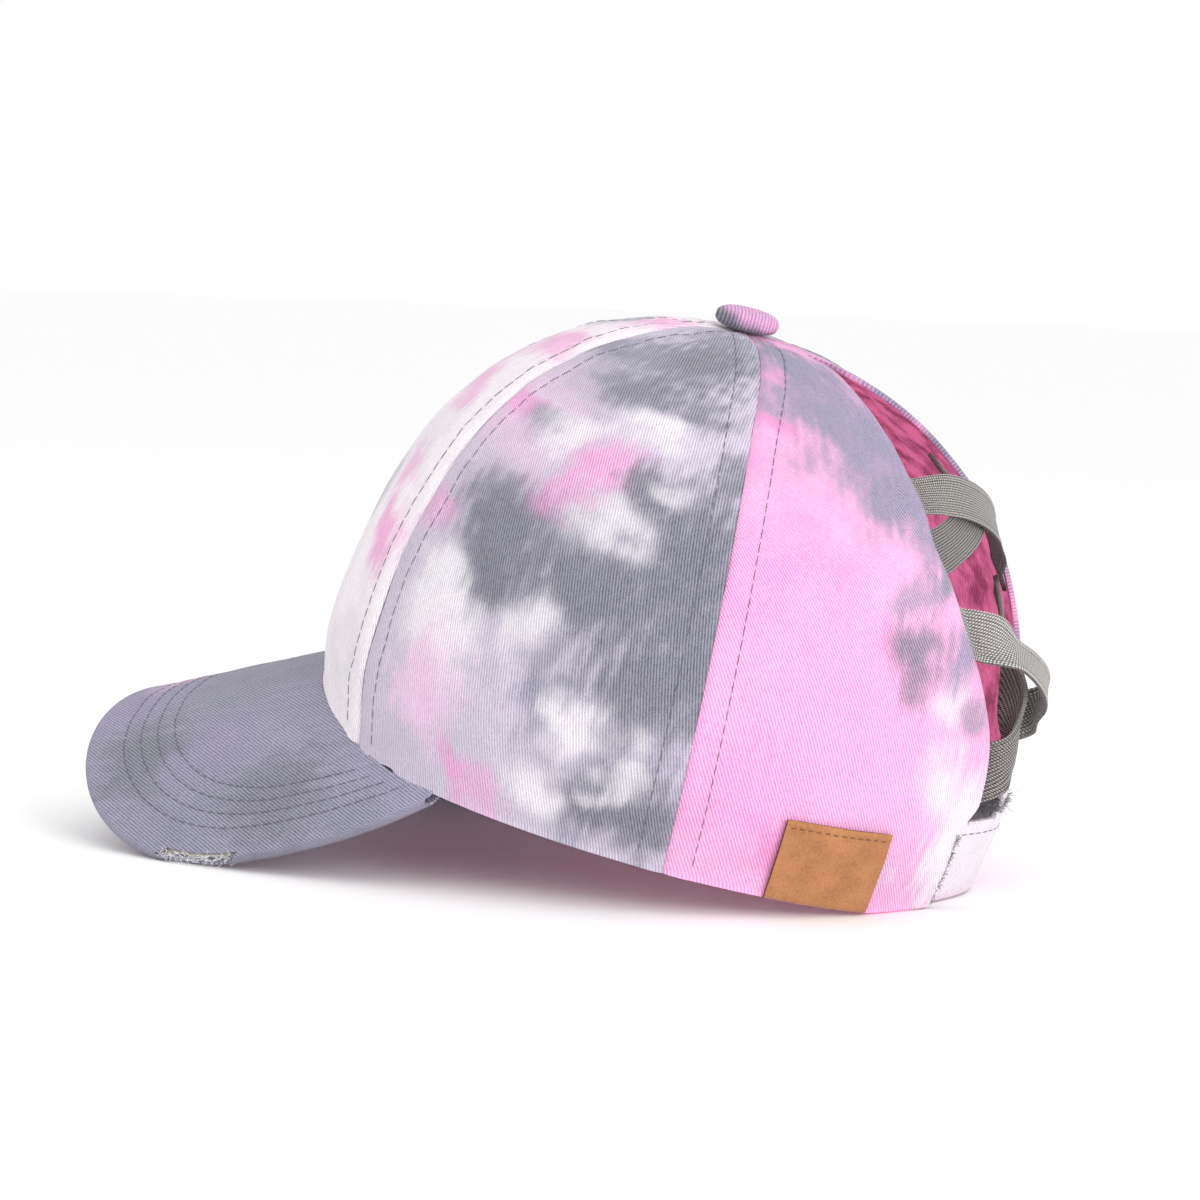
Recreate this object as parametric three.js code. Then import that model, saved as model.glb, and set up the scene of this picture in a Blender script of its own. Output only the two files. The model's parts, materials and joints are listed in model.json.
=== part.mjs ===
// Six-panel ponytail baseball cap lying on a table, as it rests by itself: on the two side edges of
// its curved peak and on the back of its hem. Millimetres, +Z up, peak towards -Y, wearer's left
// towards +X. The origin is on the table under the middle of the cap.
// The crown is made upright first, hem plane level, and the whole cap is then leaned back.
import * as THREE from 'three';

// Crown
const HALF_WIDTH = 77.5;       // centre line to the side of the hem
const FRONT_LENGTH = 98;       // ear line to the front of the hem
const BACK_LENGTH = 98;        // ear line to the back of the hem
const CROWN_HEIGHT = 133.5;    // hem plane to the top of the dome
const APEX_SHIFT = -5;         // the top lies this far from the ear line (minus is towards the peak)
const CLOTH_WALL = 1.4;        // one panel, turned hem and all
const SEAM_GAP = 0.3;          // clearance between neighbouring pieces
const LAYER_GAP = 0.5;         // clearance between soft layers that lie on each other
const FRONT_NARROWING = -0.05; // minus makes the front wider than the back
const SIDE_SEAM_FRONT = 53;    // degrees round from the front centre
const SIDE_SEAM_REAR = 114;
const EYE_SHARE = 0.985;       // panels stop here on the way up, round the button's shank
const HEM_DROP = 3.2;          // the front panels run down behind the peak by this much

// Meridians of the dome. along: share of the way up; rise: share of the height; front, side, back:
// share of the hem's reach in that direction.
const SECTIONS = [
  { along: 0.000, rise: 0.000, front: 1.000, side: 1.000, back: 1.000 },
  { along: 0.125, rise: 0.191, front: 1.035, side: 1.052, back: 1.029 },
  { along: 0.250, rise: 0.424, front: 0.985, side: 1.048, back: 0.991 },
  { along: 0.375, rise: 0.622, front: 0.885, side: 0.972, back: 0.900 },
  { along: 0.500, rise: 0.768, front: 0.755, side: 0.838, back: 0.775 },
  { along: 0.625, rise: 0.868, front: 0.607, side: 0.655, back: 0.626 },
  { along: 0.750, rise: 0.940, front: 0.430, side: 0.443, back: 0.458 },
  { along: 0.875, rise: 0.986, front: 0.225, side: 0.220, back: 0.250 },
  { along: 1.000, rise: 1.000, front: 0.000, side: 0.000, back: 0.000 },
];

// Soft folds of the cloth. side: 1 wearer's left, -1 right; turn: degrees round from the front;
// up: share of the way up; lean: degrees from the upright; long, wide: half lengths as shares of
// HALF_WIDTH; deep: share of HALF_WIDTH, minus is a hollow.
const FOLDS = [
  { side: 1, turn: 84, up: 0.20, lean: -48, long: 0.42, wide: 0.070, deep: -0.020 },
  { side: 1, turn: 96, up: 0.12, lean: -30, long: 0.30, wide: 0.080, deep: 0.012 },
  { side: 1, turn: 124, up: 0.66, lean: 4, long: 0.42, wide: 0.090, deep: -0.018 },
  { side: 1, turn: 134, up: 0.60, lean: 12, long: 0.38, wide: 0.080, deep: 0.012 },
  { side: 1, turn: 146, up: 0.50, lean: -50, long: 0.34, wide: 0.075, deep: -0.014 },
  { side: 1, turn: 148, up: 0.22, lean: 6, long: 0.34, wide: 0.085, deep: -0.014 },
  { side: 1, turn: 30, up: 0.30, lean: 20, long: 0.40, wide: 0.130, deep: -0.012 },
  { side: -1, turn: 76, up: 0.26, lean: 38, long: 0.42, wide: 0.090, deep: -0.020 },
  { side: -1, turn: 128, up: 0.42, lean: -10, long: 0.45, wide: 0.090, deep: -0.018 },
  { side: -1, turn: 28, up: 0.34, lean: -16, long: 0.42, wide: 0.130, deep: -0.014 },
];

// Ponytail slit and closure at the back
const SLIT_HALF = 24;          // widest half gap between the rear panels
const SLIT_TOP = 0.92;         // share of the way up where the rear panels meet
const SLIT_FOOT = 0.150;       // share of the way up where the closure begins
// share: from SLIT_FOOT to SLIT_TOP; open: share of SLIT_HALF
const SLIT = [
  { share: 0.00, open: 0.44 }, { share: 0.08, open: 0.44 }, { share: 0.15, open: 0.62 },
  { share: 0.24, open: 0.85 }, { share: 0.33, open: 0.97 }, { share: 0.41, open: 1.00 },
  { share: 0.50, open: 0.94 }, { share: 0.61, open: 0.80 }, { share: 0.71, open: 0.63 },
  { share: 0.82, open: 0.42 }, { share: 0.92, open: 0.18 }, { share: 1.00, open: 0.00 },
];
const CLOSURE_SETBACK = 17;    // centre line to the end of the left rear panel at the hem
const TAB_REACH = 34;          // centre line to the hidden end of the closure tab
const TAB_HEIGHT = 24;         // hem to the top edge of the tab
const TAPE_WALL = 1.2;         // hook tape and loop tape
const HOOK_LENGTH = 15;
const LOOP_RISE = 4.5;         // the loop tape stands this far above the tab

// Sweatband, button and label
const BAND_WALL = 1.5;
const BAND_HEIGHT = 28;
const BAND_SETBACK = 4;        // its lower edge above the hem
const BUTTON_RADIUS = 9.0;
const BUTTON_HEIGHT = 7.0;
const SHANK_RADIUS = 1.3;
const LABEL_TURN = 140.5;      // degrees round from the front, to its middle
const LABEL_WIDTH = 29;
const LABEL_HEIGHT = 22;
const LABEL_WALL = 1.1;
const LABEL_LIP = 2.4;         // how far it folds up inside the hem

// Elastic straps over the slit
const STRAP_WIDTH = 12;
const STRAP_WALL = 1.2;
const STRAP_TUCK = 7;          // how far each end runs in under the panel
const STRAP_CLEAR = 3.4;       // it starts to rise this far past the panel's edge
// left, right: height of each end as a share of the way up; arch: how far the middle lies above the
// straight line between them, as such a share; stand: how far the loop stands out beyond the dome, as
// a share of STRAP_WIDTH; lead: how far to the wearer's left of the centre line it does so, as such a
// share; swell: how soon it gets there; twistLeft, twistRight: degrees that the free part turns about
// its own run, minus with its face up; under: 1 passes below the other strap
const STRAPS = [
  { name: 'strap_upper_over', left: 0.556, right: 0.398, arch: 0.038, stand: 0.27, lead: 0, swell: 3.0,
    twistLeft: 20, twistRight: 0, under: 0 },
  { name: 'strap_upper_under', left: 0.428, right: 0.600, arch: -0.010, stand: 0.00, lead: 0, swell: 1.6,
    twistLeft: 0, twistRight: 0, under: 1 },
  { name: 'strap_lower_over', left: 0.360, right: 0.186, arch: 0.030, stand: 1.00, lead: -0.04, swell: 3.0,
    twistLeft: -48, twistRight: 4, under: 0 },
  { name: 'strap_lower_under', left: 0.142, right: 0.385, arch: -0.012, stand: 0.88, lead: 0.30, swell: 1.8,
    twistLeft: -14, twistRight: 16, under: 1 },
];
const STRAP_ROUNDING = 3;      // the middle of a strap's arc is rounded over this length
const STRAP_LOOSE = 7;         // the twist comes in over this length past the panel's edge

// Peak
const PEAK_RADIUS = 86;        // of the cylinder it is bent round
const PEAK_SLOPE = 27.7;       // degrees down towards the front
const PEAK_LENGTH = 77;        // along the middle
const PEAK_HALF = 102;         // along the bend, centre line to the side
const PEAK_FULLNESS = 2.55;    // power of the outline, 2 is an ellipse
const EAR_TURN = 75;           // degrees round from the front, where the peak meets the hem
const EAR_BLEND = 12;          // over these degrees the peak goes from beside the hem to under it
const COVER_WALL = 1.0;
const BOARD_WALL = 1.2;
const CORNER_TRIM = 6;         // width of the peak's blunt rear corners
const TEAR_FROM = 0.56;        // shares of the way round the left edge, front centre to ear
const TEAR_TO = 0.69;
const HEM_PRESS = 1.0;         // the soft hem is pressed this much flat by the table
const PEAK_PRESS = 0.3;

const PEAK_THICKNESS = 2 * COVER_WALL + BOARD_WALL + 2 * LAYER_GAP;
const rad = (deg) => deg * Math.PI / 180;
const mix = (a, b, s) => a + (b - a) * s;
const smooth = (x) => { const s = Math.min(1, Math.max(0, x)); return s * s * (3 - 2 * s); };

// Smooth curve through a table, Catmull-Rom on uneven knots.
function curve(table, key, value, x) {
  const last = table.length - 1;
  let i = 0;
  while (i < last - 1 && x > table[i + 1][key]) i += 1;
  const slope = (k) => {
    const a = table[Math.max(0, k - 1)];
    const b = table[Math.min(last, k + 1)];
    return (b[value] - a[value]) / (b[key] - a[key]);
  };
  const h = table[i + 1][key] - table[i][key];
  const t = Math.min(1, Math.max(0, (x - table[i][key]) / h));
  const t2 = t * t;
  const t3 = t2 * t;
  return (2 * t3 - 3 * t2 + 1) * table[i][value] + (t3 - 2 * t2 + t) * h * slope(i)
    + (3 * t2 - 2 * t3) * table[i + 1][value] + (t3 - t2) * h * slope(i + 1);
}

// Smooth dome: turn in radians from the front (plus is towards +X), v share of the way up.
function dome(turn, v) {
  const front = curve(SECTIONS, 'along', 'front', v);
  const back = curve(SECTIONS, 'along', 'back', v);
  const yFront = APEX_SHIFT - (FRONT_LENGTH + APEX_SHIFT) * front;
  const yBack = APEX_SHIFT + (BACK_LENGTH - APEX_SHIFT) * back;
  const c = Math.cos(turn);
  return new THREE.Vector3(
    HALF_WIDTH * curve(SECTIONS, 'along', 'side', v) * Math.sin(turn) * (1 - FRONT_NARROWING * c),
    (yFront + yBack) / 2 - (yBack - yFront) / 2 * c,
    CROWN_HEIGHT * curve(SECTIONS, 'along', 'rise', v));
}

// The peak is a piece of a cylinder: bend is the angle round it, ahead the distance forward of the
// hem's front, depth the distance below its top surface.
const slope = rad(PEAK_SLOPE);
const hemSpot = (turn) => {
  const p = dome(turn, 0);
  const bend = Math.asin(Math.max(-1, Math.min(1, p.x / PEAK_RADIUS)));
  const front = -FRONT_LENGTH + PEAK_RADIUS * (1 - Math.cos(bend)) * Math.sin(slope);
  return { bend, ahead: (front - p.y) / Math.cos(slope) };
};
const ear = hemSpot(rad(EAR_TURN));
const FRONT_RISE = ear.ahead * Math.sin(slope) + PEAK_RADIUS * (1 - Math.cos(ear.bend)) * Math.cos(slope);
function peakPoint(bend, ahead, depth) {
  const up = -PEAK_RADIUS + (PEAK_RADIUS - depth) * Math.cos(bend);
  return new THREE.Vector3((PEAK_RADIUS - depth) * Math.sin(bend),
    -FRONT_LENGTH - ahead * Math.cos(slope) - up * Math.sin(slope),
    FRONT_RISE - ahead * Math.sin(slope) + up * Math.cos(slope));
}

// Height of the line where the peak's top meets the crown; 0 behind the ears.
function hemHeight(turn) {
  if (Math.abs(turn) >= rad(EAR_TURN)) return 0;
  const spot = hemSpot(turn);
  return peakPoint(spot.bend, spot.ahead, 0).z;
}
function shareAtHeight(height) {
  let low = 0;
  let high = 0.7;
  for (let i = 0; i < 26; i += 1) {
    const mid = (low + high) / 2;
    if (CROWN_HEIGHT * curve(SECTIONS, 'along', 'rise', mid) < height) low = mid;
    else high = mid;
  }
  return (low + high) / 2;
}

// Point on the crown's outer face: up is 0 at the hem or the peak's top, and 1 at the apex.
function crown(turn, up) {
  const start = shareAtHeight(hemHeight(turn));
  const v = start + (1 - start) * up;
  return dome(turn, v).addScaledVector(outward(turn, v), foldAt(turn, up));
}
function outward(turn, v) {
  const e = 0.004;
  const top = Math.min(1 - e, Math.max(e, v));
  const a = dome(turn + e, top).sub(dome(turn - e, top));
  const b = dome(turn, top + e).sub(dome(turn, top - e));
  return a.cross(b).normalize();
}
function foldAt(turn, up) {
  let total = 0;
  const wrapped = Math.atan2(Math.sin(turn), Math.cos(turn));
  for (const f of FOLDS) {
    const across = (wrapped * f.side - rad(f.turn)) * (1.1 - 0.8 * up);
    const rise = (up - f.up) * 1.5 * CROWN_HEIGHT / HALF_WIDTH;
    const c = Math.cos(rad(f.lean));
    const s = Math.sin(rad(f.lean));
    const l = (rise * c + across * s) / f.long;
    const w = (across * c - rise * s) / f.wide;
    total += f.deep * HALF_WIDTH * Math.exp(-l * l - w * w);
  }
  return total * smooth(up / 0.08) * smooth((1 - up) / 0.12);
}
// The same, moved out by a distance (minus is inwards).
function crownOff(turn, up, out) {
  const e = 0.004;
  const low = Math.max(e, Math.min(1 - e, up));
  const a = crown(turn + e, low).sub(crown(turn - e, low));
  const b = crown(turn, low + e).sub(crown(turn, low - e));
  const n = a.cross(b).normalize();
  if (up <= 0.01) n.setZ(0).normalize();
  return crown(turn, up).addScaledVector(n, out);
}
// Share of the way up that lies a given height of cloth above the hem.
const climb = (turn, distance) => distance * 0.02 / crown(turn, 0.03).distanceTo(crown(turn, 0.01));
// Turn at which the crown's outer face is a given distance off the centre line, at the back.
function backTurn(off, up) {
  let low = rad(90);
  let high = rad(180);
  for (let i = 0; i < 24; i += 1) {
    const mid = (low + high) / 2;
    if (crown(mid, up).x > off) low = mid;
    else high = mid;
  }
  return (low + high) / 2;
}

// Closed thin solid from a grid of outer and inner points, left out where keep(i, j) is false.
function shell(name, material, nu, nv, outer, inner, keep = () => true) {
  const spots = [];
  const faces = [];
  const index = new Map();
  const at = (layer, i, j) => {
    const key = `${layer},${i},${j}`;
    if (!index.has(key)) {
      index.set(key, spots.length / 3);
      const p = (layer === 0 ? outer : inner)(i / nu, j / nv, i, j);
      spots.push(p.x, p.y, p.z);
    }
    return index.get(key);
  };
  const kept = (i, j) => i >= 0 && j >= 0 && i < nu && j < nv && keep(i, j);
  const quad = (a, b, c, d) => { faces.push(a, b, c, a, c, d); };
  for (let i = 0; i < nu; i += 1) {
    for (let j = 0; j < nv; j += 1) {
      if (!kept(i, j)) continue;
      quad(at(0, i, j), at(0, i + 1, j), at(0, i + 1, j + 1), at(0, i, j + 1));
      quad(at(1, i, j), at(1, i, j + 1), at(1, i + 1, j + 1), at(1, i + 1, j));
      const wall = (i0, j0, i1, j1) => quad(at(0, i1, j1), at(0, i0, j0), at(1, i0, j0), at(1, i1, j1));
      if (!kept(i, j - 1)) wall(i, j, i + 1, j);
      if (!kept(i + 1, j)) wall(i + 1, j, i + 1, j + 1);
      if (!kept(i, j + 1)) wall(i + 1, j + 1, i, j + 1);
      if (!kept(i - 1, j)) wall(i, j + 1, i, j);
    }
  }
  return solid(name, material, spots, faces);
}
const pieces = [];
function solid(name, material, spots, faces) {
  let volume = 0;
  const v = (k) => new THREE.Vector3(spots[3 * k], spots[3 * k + 1], spots[3 * k + 2]);
  for (let k = 0; k < faces.length; k += 3) {
    volume += v(faces[k]).dot(v(faces[k + 1]).cross(v(faces[k + 2])));
  }
  for (let k = 0; volume < 0 && k < faces.length; k += 3) {
    [faces[k + 1], faces[k + 2]] = [faces[k + 2], faces[k + 1]];
  }
  const geometry = new THREE.BufferGeometry();
  geometry.setAttribute('position', new THREE.Float32BufferAttribute(spots, 3));
  geometry.setIndex(faces);
  const mesh = new THREE.Mesh(geometry, material);
  mesh.name = name;
  pieces.push(mesh);
  return mesh;
}

const cloth = (color) => new THREE.MeshStandardMaterial({ color, roughness: 0.95, metalness: 0 });
const pinkTwill = cloth(0xe9bfd8);
const greyTwill = cloth(0x9a9aaa);
const paleTwill = cloth(0xf3e6ea);
const suede = cloth(0xbd8355);
const elastic = cloth(0x8f8b87);
const tape = cloth(0x4b4a4c);
const band = cloth(0x8d8a92);
const board = cloth(0xc9bfae);

// Panels. Each seam edge stays half a gap from the seam line.
const seamStep = (turn, up) => {
  const p = crown(turn, up);
  const centre = (dome(0, up).y + dome(Math.PI, up).y) / 2;
  return SEAM_GAP / 2 / Math.max(1, Math.hypot(p.x, p.y - centre));
};
// The front of the hem runs down behind the peak, and out to nothing at the ears.
const dropShare = (turn) => smooth((EAR_TURN - EAR_BLEND - Math.abs(turn) * 180 / Math.PI) / EAR_BLEND);
function panel(name, material, from, to, across, tall) {
  const place = (out) => (s, t, i, j) => {
    const middle = rad(mix(from, to, s));
    const first = 0.02 * (1 - dropShare(middle));
    const up = j === 0 ? 0 : mix(first, EYE_SHARE, (j - 1) / (tall - 1));
    const p = crownOff(mix(rad(from) + seamStep(rad(from), up), rad(to) - seamStep(rad(to), up), s), up, out);
    if (j === 0) p.z -= HEM_DROP * dropShare(middle);
    return p;
  };
  shell(name, material, across, tall, place(0), place(-CLOTH_WALL));
}
panel('front_left_panel', paleTwill, 0, SIDE_SEAM_FRONT, 10, 18);
panel('front_right_panel', paleTwill, -SIDE_SEAM_FRONT, 0, 10, 18);
panel('side_left_panel', greyTwill, SIDE_SEAM_FRONT, SIDE_SEAM_REAR, 12, 18);
panel('side_right_panel', greyTwill, -SIDE_SEAM_REAR, -SIDE_SEAM_FRONT, 12, 18);

// Rear panels and closure
// Half gap between the rear panels at a share of the way up.
function slitOpen(up) {
  if (up >= SLIT_TOP) return SEAM_GAP / 2;
  const share = Math.max(0, (up - SLIT_FOOT) / (SLIT_TOP - SLIT_FOOT));
  return Math.max(SEAM_GAP / 2, SLIT_HALF * curve(SLIT, 'share', 'open', share));
}
// The left panel reaches less far than the slit's foot at the hem.
function leftEdge(up) {
  const open = slitOpen(up);
  return mix(Math.max(CLOSURE_SETBACK, open), open, smooth(up / SLIT_FOOT * 4 - 3));
}
// Turn for a signed distance off the centre line at the back, plus is the wearer's left.
const turnOff = (x, up) => (x >= 0 ? backTurn(x, up) : 2 * Math.PI - backTurn(-x, up));
const tabTop = climb(Math.PI, TAB_HEIGHT);
const TAB_DEPTH = CLOTH_WALL + TAPE_WALL + 2 * LAYER_GAP;
// The tab slopes in under the left panel's end.
const tuck = (x, up) => -TAB_DEPTH * smooth((x + 1.3 * CLOSURE_SETBACK) / (1.8 * CLOSURE_SETBACK))
  * smooth((1.35 * tabTop - up) / (0.35 * tabTop));

const leftRows = 20;
const rearLeft = (out) => (s, t) => {
  const up = EYE_SHARE * t;
  const seam = rad(SIDE_SEAM_REAR);
  return crownOff(mix(seam + seamStep(seam, up), turnOff(leftEdge(up), up), s), up, out);
};
shell('rear_left_panel', pinkTwill, 11, leftRows, rearLeft(0), rearLeft(-CLOTH_WALL));

const rearColumns = 11;
const tabColumns = 9;
const tabRows = 3;
const rearRows = 20;
const rearRight = (out) => (s, t, i, j) => {
  const above = (j - tabRows) / (rearRows - tabRows);
  const up = j <= tabRows ? tabTop * j / tabRows : mix(tabTop, EYE_SHARE, above);
  const seam = 2 * Math.PI - rad(SIDE_SEAM_REAR);
  const edge = turnOff(-slitOpen(up), up);
  if (i <= rearColumns) {
    const turn = mix(seam - seamStep(seam, up), edge, i / rearColumns);
    return crownOff(turn, up, out + tuck(crown(turn, up).x, up));
  }
  const x = mix(-slitOpen(up), TAB_REACH, (i - rearColumns) / tabColumns);
  return crownOff(turnOff(x, up), up, out + tuck(x, up));
};
shell('rear_right_panel', pinkTwill, rearColumns + tabColumns, rearRows, rearRight(0), rearRight(-CLOTH_WALL),
  (i, j) => i < rearColumns || j < tabRows);

// Flat strip that follows the crown, given by its ends off the centre line and its lower and upper
// edge above the hem, with a depth function of the place.
function strip(name, material, xFrom, xTo, low, high, across, tall, depth, wall) {
  const place = (out) => (s, t) => {
    const x = mix(xFrom, xTo, s);
    const up = climb(Math.PI, mix(low, high, t));
    return crownOff(turnOff(x, up), up, depth(x) + out);
  };
  shell(name, material, across, tall, place(0), place(-wall));
}
const hookStart = CLOSURE_SETBACK - 1.5 * TAPE_WALL;
strip('hook_tape', tape, hookStart, hookStart + HOOK_LENGTH, 1.5 * TAPE_WALL, TAB_HEIGHT - TAPE_WALL, 4, 3,
  () => -CLOTH_WALL - LAYER_GAP, TAPE_WALL);
const loopEnd = 1.3 * CLOSURE_SETBACK;
strip('loop_tape', tape, -loopEnd, loopEnd, TAB_HEIGHT / 2, TAB_HEIGHT + LOOP_RISE, 10, 3,
  (x) => tuck(x, 0) - CLOTH_WALL - LAYER_GAP, TAPE_WALL);

// Sweatband, inside the hem from one side of the closure to the other
const bandLeft = turnOff(TAB_REACH + 3, 0);
const bandRight = turnOff(-loopEnd - 4, 0) - 2 * Math.PI;
const sweat = (out) => (s, t) => {
  const turn = mix(bandRight, bandLeft, s);
  const low = climb(turn, BAND_SETBACK);
  const high = climb(turn, BAND_SETBACK + BAND_HEIGHT);
  return crownOff(turn, mix(low, high, t), out - CLOTH_WALL - LAYER_GAP);
};
shell('sweatband', band, 42, 3, sweat(0), sweat(-BAND_WALL));

// Suede label, folded round the hem
const labelSpeed = crown(rad(LABEL_TURN) + 0.01, 0).distanceTo(crown(rad(LABEL_TURN) - 0.01, 0)) / 0.02;
const labelSpan = LABEL_WIDTH / 2 / labelSpeed;
const labelPath = (out) => {
  const far = LAYER_GAP + (out ? LABEL_WALL : 0);
  const inner = -CLOTH_WALL - far;
  return [[LABEL_HEIGHT, far], [LABEL_HEIGHT * 0.66, far], [LABEL_HEIGHT * 0.33, far], [0, far],
    [-far, far], [-far, inner], [LABEL_LIP, inner]];
};
const labelFace = (out) => (s, t, i, j) => {
  const [height, off] = labelPath(out)[j];
  const turn = rad(LABEL_TURN) + mix(-labelSpan, labelSpan, s);
  const p = crownOff(turn, height > 0 ? climb(turn, height) : 0, off);
  if (height < 0) p.z += height;
  return p;
};
shell('label', suede, 6, 6, labelFace(true), labelFace(false));

// Cloth-covered button, with its shank through the eye
const profile = [[0, -3 * CLOTH_WALL], [SHANK_RADIUS, -3 * CLOTH_WALL], [SHANK_RADIUS, SEAM_GAP],
  [BUTTON_RADIUS * 0.86, SEAM_GAP], [BUTTON_RADIUS * 0.97, BUTTON_HEIGHT * 0.22],
  [BUTTON_RADIUS, BUTTON_HEIGHT * 0.42], [BUTTON_RADIUS * 0.95, BUTTON_HEIGHT * 0.66],
  [BUTTON_RADIUS * 0.78, BUTTON_HEIGHT * 0.86], [BUTTON_RADIUS * 0.42, BUTTON_HEIGHT * 0.98],
  [0, BUTTON_HEIGHT]];
{
  const sides = 20;
  const spots = [];
  const faces = [];
  const top = [0, APEX_SHIFT, CROWN_HEIGHT];
  const ring = (k, i) => (k === 0 ? 0 : k === profile.length - 1 ? 1 : 2 + (k - 1) * sides + i % sides);
  spots.push(top[0], top[1], top[2] + profile[0][1], top[0], top[1], top[2] + BUTTON_HEIGHT);
  for (let k = 1; k < profile.length - 1; k += 1) {
    for (let i = 0; i < sides; i += 1) {
      const a = 2 * Math.PI * i / sides;
      const r = profile[k][0];
      spots.push(top[0] + r * Math.cos(a), top[1] + r * Math.sin(a), top[2] + profile[k][1]);
    }
  }
  for (let k = 0; k < profile.length - 1; k += 1) {
    for (let i = 0; i < sides; i += 1) {
      const b = ring(k, i + 1);
      const d = ring(k + 1, i);
      if (k > 0) faces.push(ring(k, i), b, d);
      if (k < profile.length - 2) faces.push(b, ring(k + 1, i + 1), d);
    }
  }
  solid('button', greyTwill, spots, faces);
}

// Elastic straps. Each runs from one edge of the slit to the other, close to the dome at its sewn ends
// and standing out and twisted over the gap.
function strapSpot(strap, s) {
  const xLeft = slitOpen(strap.left) + STRAP_TUCK;
  const xRight = -slitOpen(strap.right) - STRAP_TUCK;
  return { x: mix(xLeft, xRight, s), up: mix(strap.left, strap.right, s) + 4 * strap.arch * s * (1 - s) };
}
// How far a place on the strap lies past the panel's edge, towards the middle of its loop.
function strapPast(strap, x, up) {
  return slitOpen(up) - Math.hypot(x - strap.lead * STRAP_WIDTH, STRAP_ROUNDING);
}
// How far the strap lies outside the panels' outer face; minus is under them.
function strapLift(strap, x, up) {
  const clear = Math.max(0, strapPast(strap, x, up) - STRAP_CLEAR) / slitOpen(up);
  const low = CLOTH_WALL + LAYER_GAP + strap.under * (STRAP_WALL + LAYER_GAP);
  return (strap.stand * STRAP_WIDTH + low) * (1 - (1 - clear) ** strap.swell) - low;
}
function strapCentre(strap, s, out) {
  const { x, up } = strapSpot(strap, s);
  return crownOff(turnOff(x, up), up, strapLift(strap, x, up) + out);
}
// A point across the strap, laid on the dome as its sewn ends are.
function strapLaid(strap, s, side, out) {
  const e = 0.01;
  const spot = strapSpot(strap, s);
  const next = strapSpot(strap, s + e);
  const turn = turnOff(spot.x, spot.up);
  const speed = crown(turn, spot.up + e).distanceTo(crown(turn, spot.up - e)) / (2 * e);
  const run = new THREE.Vector2(next.x - spot.x, (next.up - spot.up) * speed).normalize();
  const x = spot.x + run.y * side;
  const up = spot.up - run.x * side / speed;
  return crownOff(turnOff(x, up), up, strapLift(strap, x, up) + out);
}
// The same point where the strap is free: straight across its run, and twisted about it.
function strapFree(strap, s, side, out, twist) {
  const e = 0.01;
  const centre = strapCentre(strap, s, 0);
  const normal = strapCentre(strap, s, 1).sub(centre);
  const run = strapCentre(strap, s + e, 0).sub(strapCentre(strap, s - e, 0)).normalize();
  const across = new THREE.Vector3().crossVectors(normal, run).normalize();
  const face = new THREE.Vector3().crossVectors(run, across);
  across.applyAxisAngle(run, twist);
  face.applyAxisAngle(run, twist);
  return centre.addScaledVector(across, side).addScaledVector(face, out);
}
for (const strap of STRAPS) {
  const place = (out) => (s, t) => {
    const spot = strapSpot(strap, s);
    const free = smooth((strapPast(strap, spot.x, spot.up) - STRAP_CLEAR) / STRAP_LOOSE);
    const side = (t - 0.5) * STRAP_WIDTH;
    const twist = rad(mix(strap.twistLeft, strap.twistRight, smooth(s))) * free;
    return strapLaid(strap, s, side, out).lerp(strapFree(strap, s, side, out, twist), free);
  };
  shell(strap.name, elastic, 26, 3, place(0), place(-STRAP_WALL));
}

// Peak: a cloth sleeve, open towards the crown, with a board inside
// Outline in flat lengths along the bend and ahead, from the ear to the front centre.
const outline = [];
{
  const start = [PEAK_RADIUS * ear.bend, ear.ahead];
  for (let k = 0; k < 24; k += 1) {
    const s = k / 24;
    outline.push([(1 - s) * (1 - s) * start[0] + 2 * s * (1 - s) * PEAK_HALF + s * s * PEAK_HALF,
      (1 - s) * (1 - s) * start[1] + 2 * s * (1 - s) * start[1] * 0.6]);
  }
  for (let k = 0; k <= 60; k += 1) {
    const a = Math.PI / 2 * k / 60;
    const power = 2 / PEAK_FULLNESS;
    outline.push([PEAK_HALF * Math.cos(a) ** power, PEAK_LENGTH * Math.sin(a) ** power]);
  }
  outline[outline.length - 1][0] = 0;
}
const lengths = [0];
for (let k = 1; k < outline.length; k += 1) {
  const [x, y] = outline[k - 1];
  lengths.push(lengths[k - 1] + Math.hypot(outline[k][0] - x, outline[k][1] - y));
}
const total = lengths[lengths.length - 1];
// Spot on the outer edge; share is 0 at the front centre and 1 at the corner, minus on the right.
function edgeSpot(share) {
  const want = mix(total, CORNER_TRIM, Math.abs(share));
  let k = 1;
  while (k < lengths.length - 1 && lengths[k] < want) k += 1;
  const s = (want - lengths[k - 1]) / (lengths[k] - lengths[k - 1]);
  return new THREE.Vector2(Math.sign(share) * mix(outline[k - 1][0], outline[k][0], s),
    mix(outline[k - 1][1], outline[k][1], s));
}
// Spot where a layer of the peak meets the crown, a gap off its outer face. Near the ears, where
// the hem ends higher, the lower layers run on under it.
function rootSpot(share, layer) {
  const turn = rad(share * (EAR_TURN - 1.5));
  const degrees = Math.abs(turn) * 180 / Math.PI;
  const depth = layer * smooth((EAR_TURN - EAR_BLEND / 2 - degrees) / (EAR_BLEND / 2));
  const foot = crown(turn, 0);
  const n = crownOff(turn, 0, 1).sub(foot);
  const x = foot.x + n.x * SEAM_GAP;
  const y = foot.y + n.y * SEAM_GAP;
  const bend = Math.asin(Math.max(-1, Math.min(1, x / (PEAK_RADIUS - depth))));
  const up = -PEAK_RADIUS + (PEAK_RADIUS - depth) * Math.cos(bend);
  const ahead = -(y + FRONT_LENGTH + up * Math.sin(slope)) / Math.cos(slope);
  return new THREE.Vector2(PEAK_RADIUS * bend, ahead);
}
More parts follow.
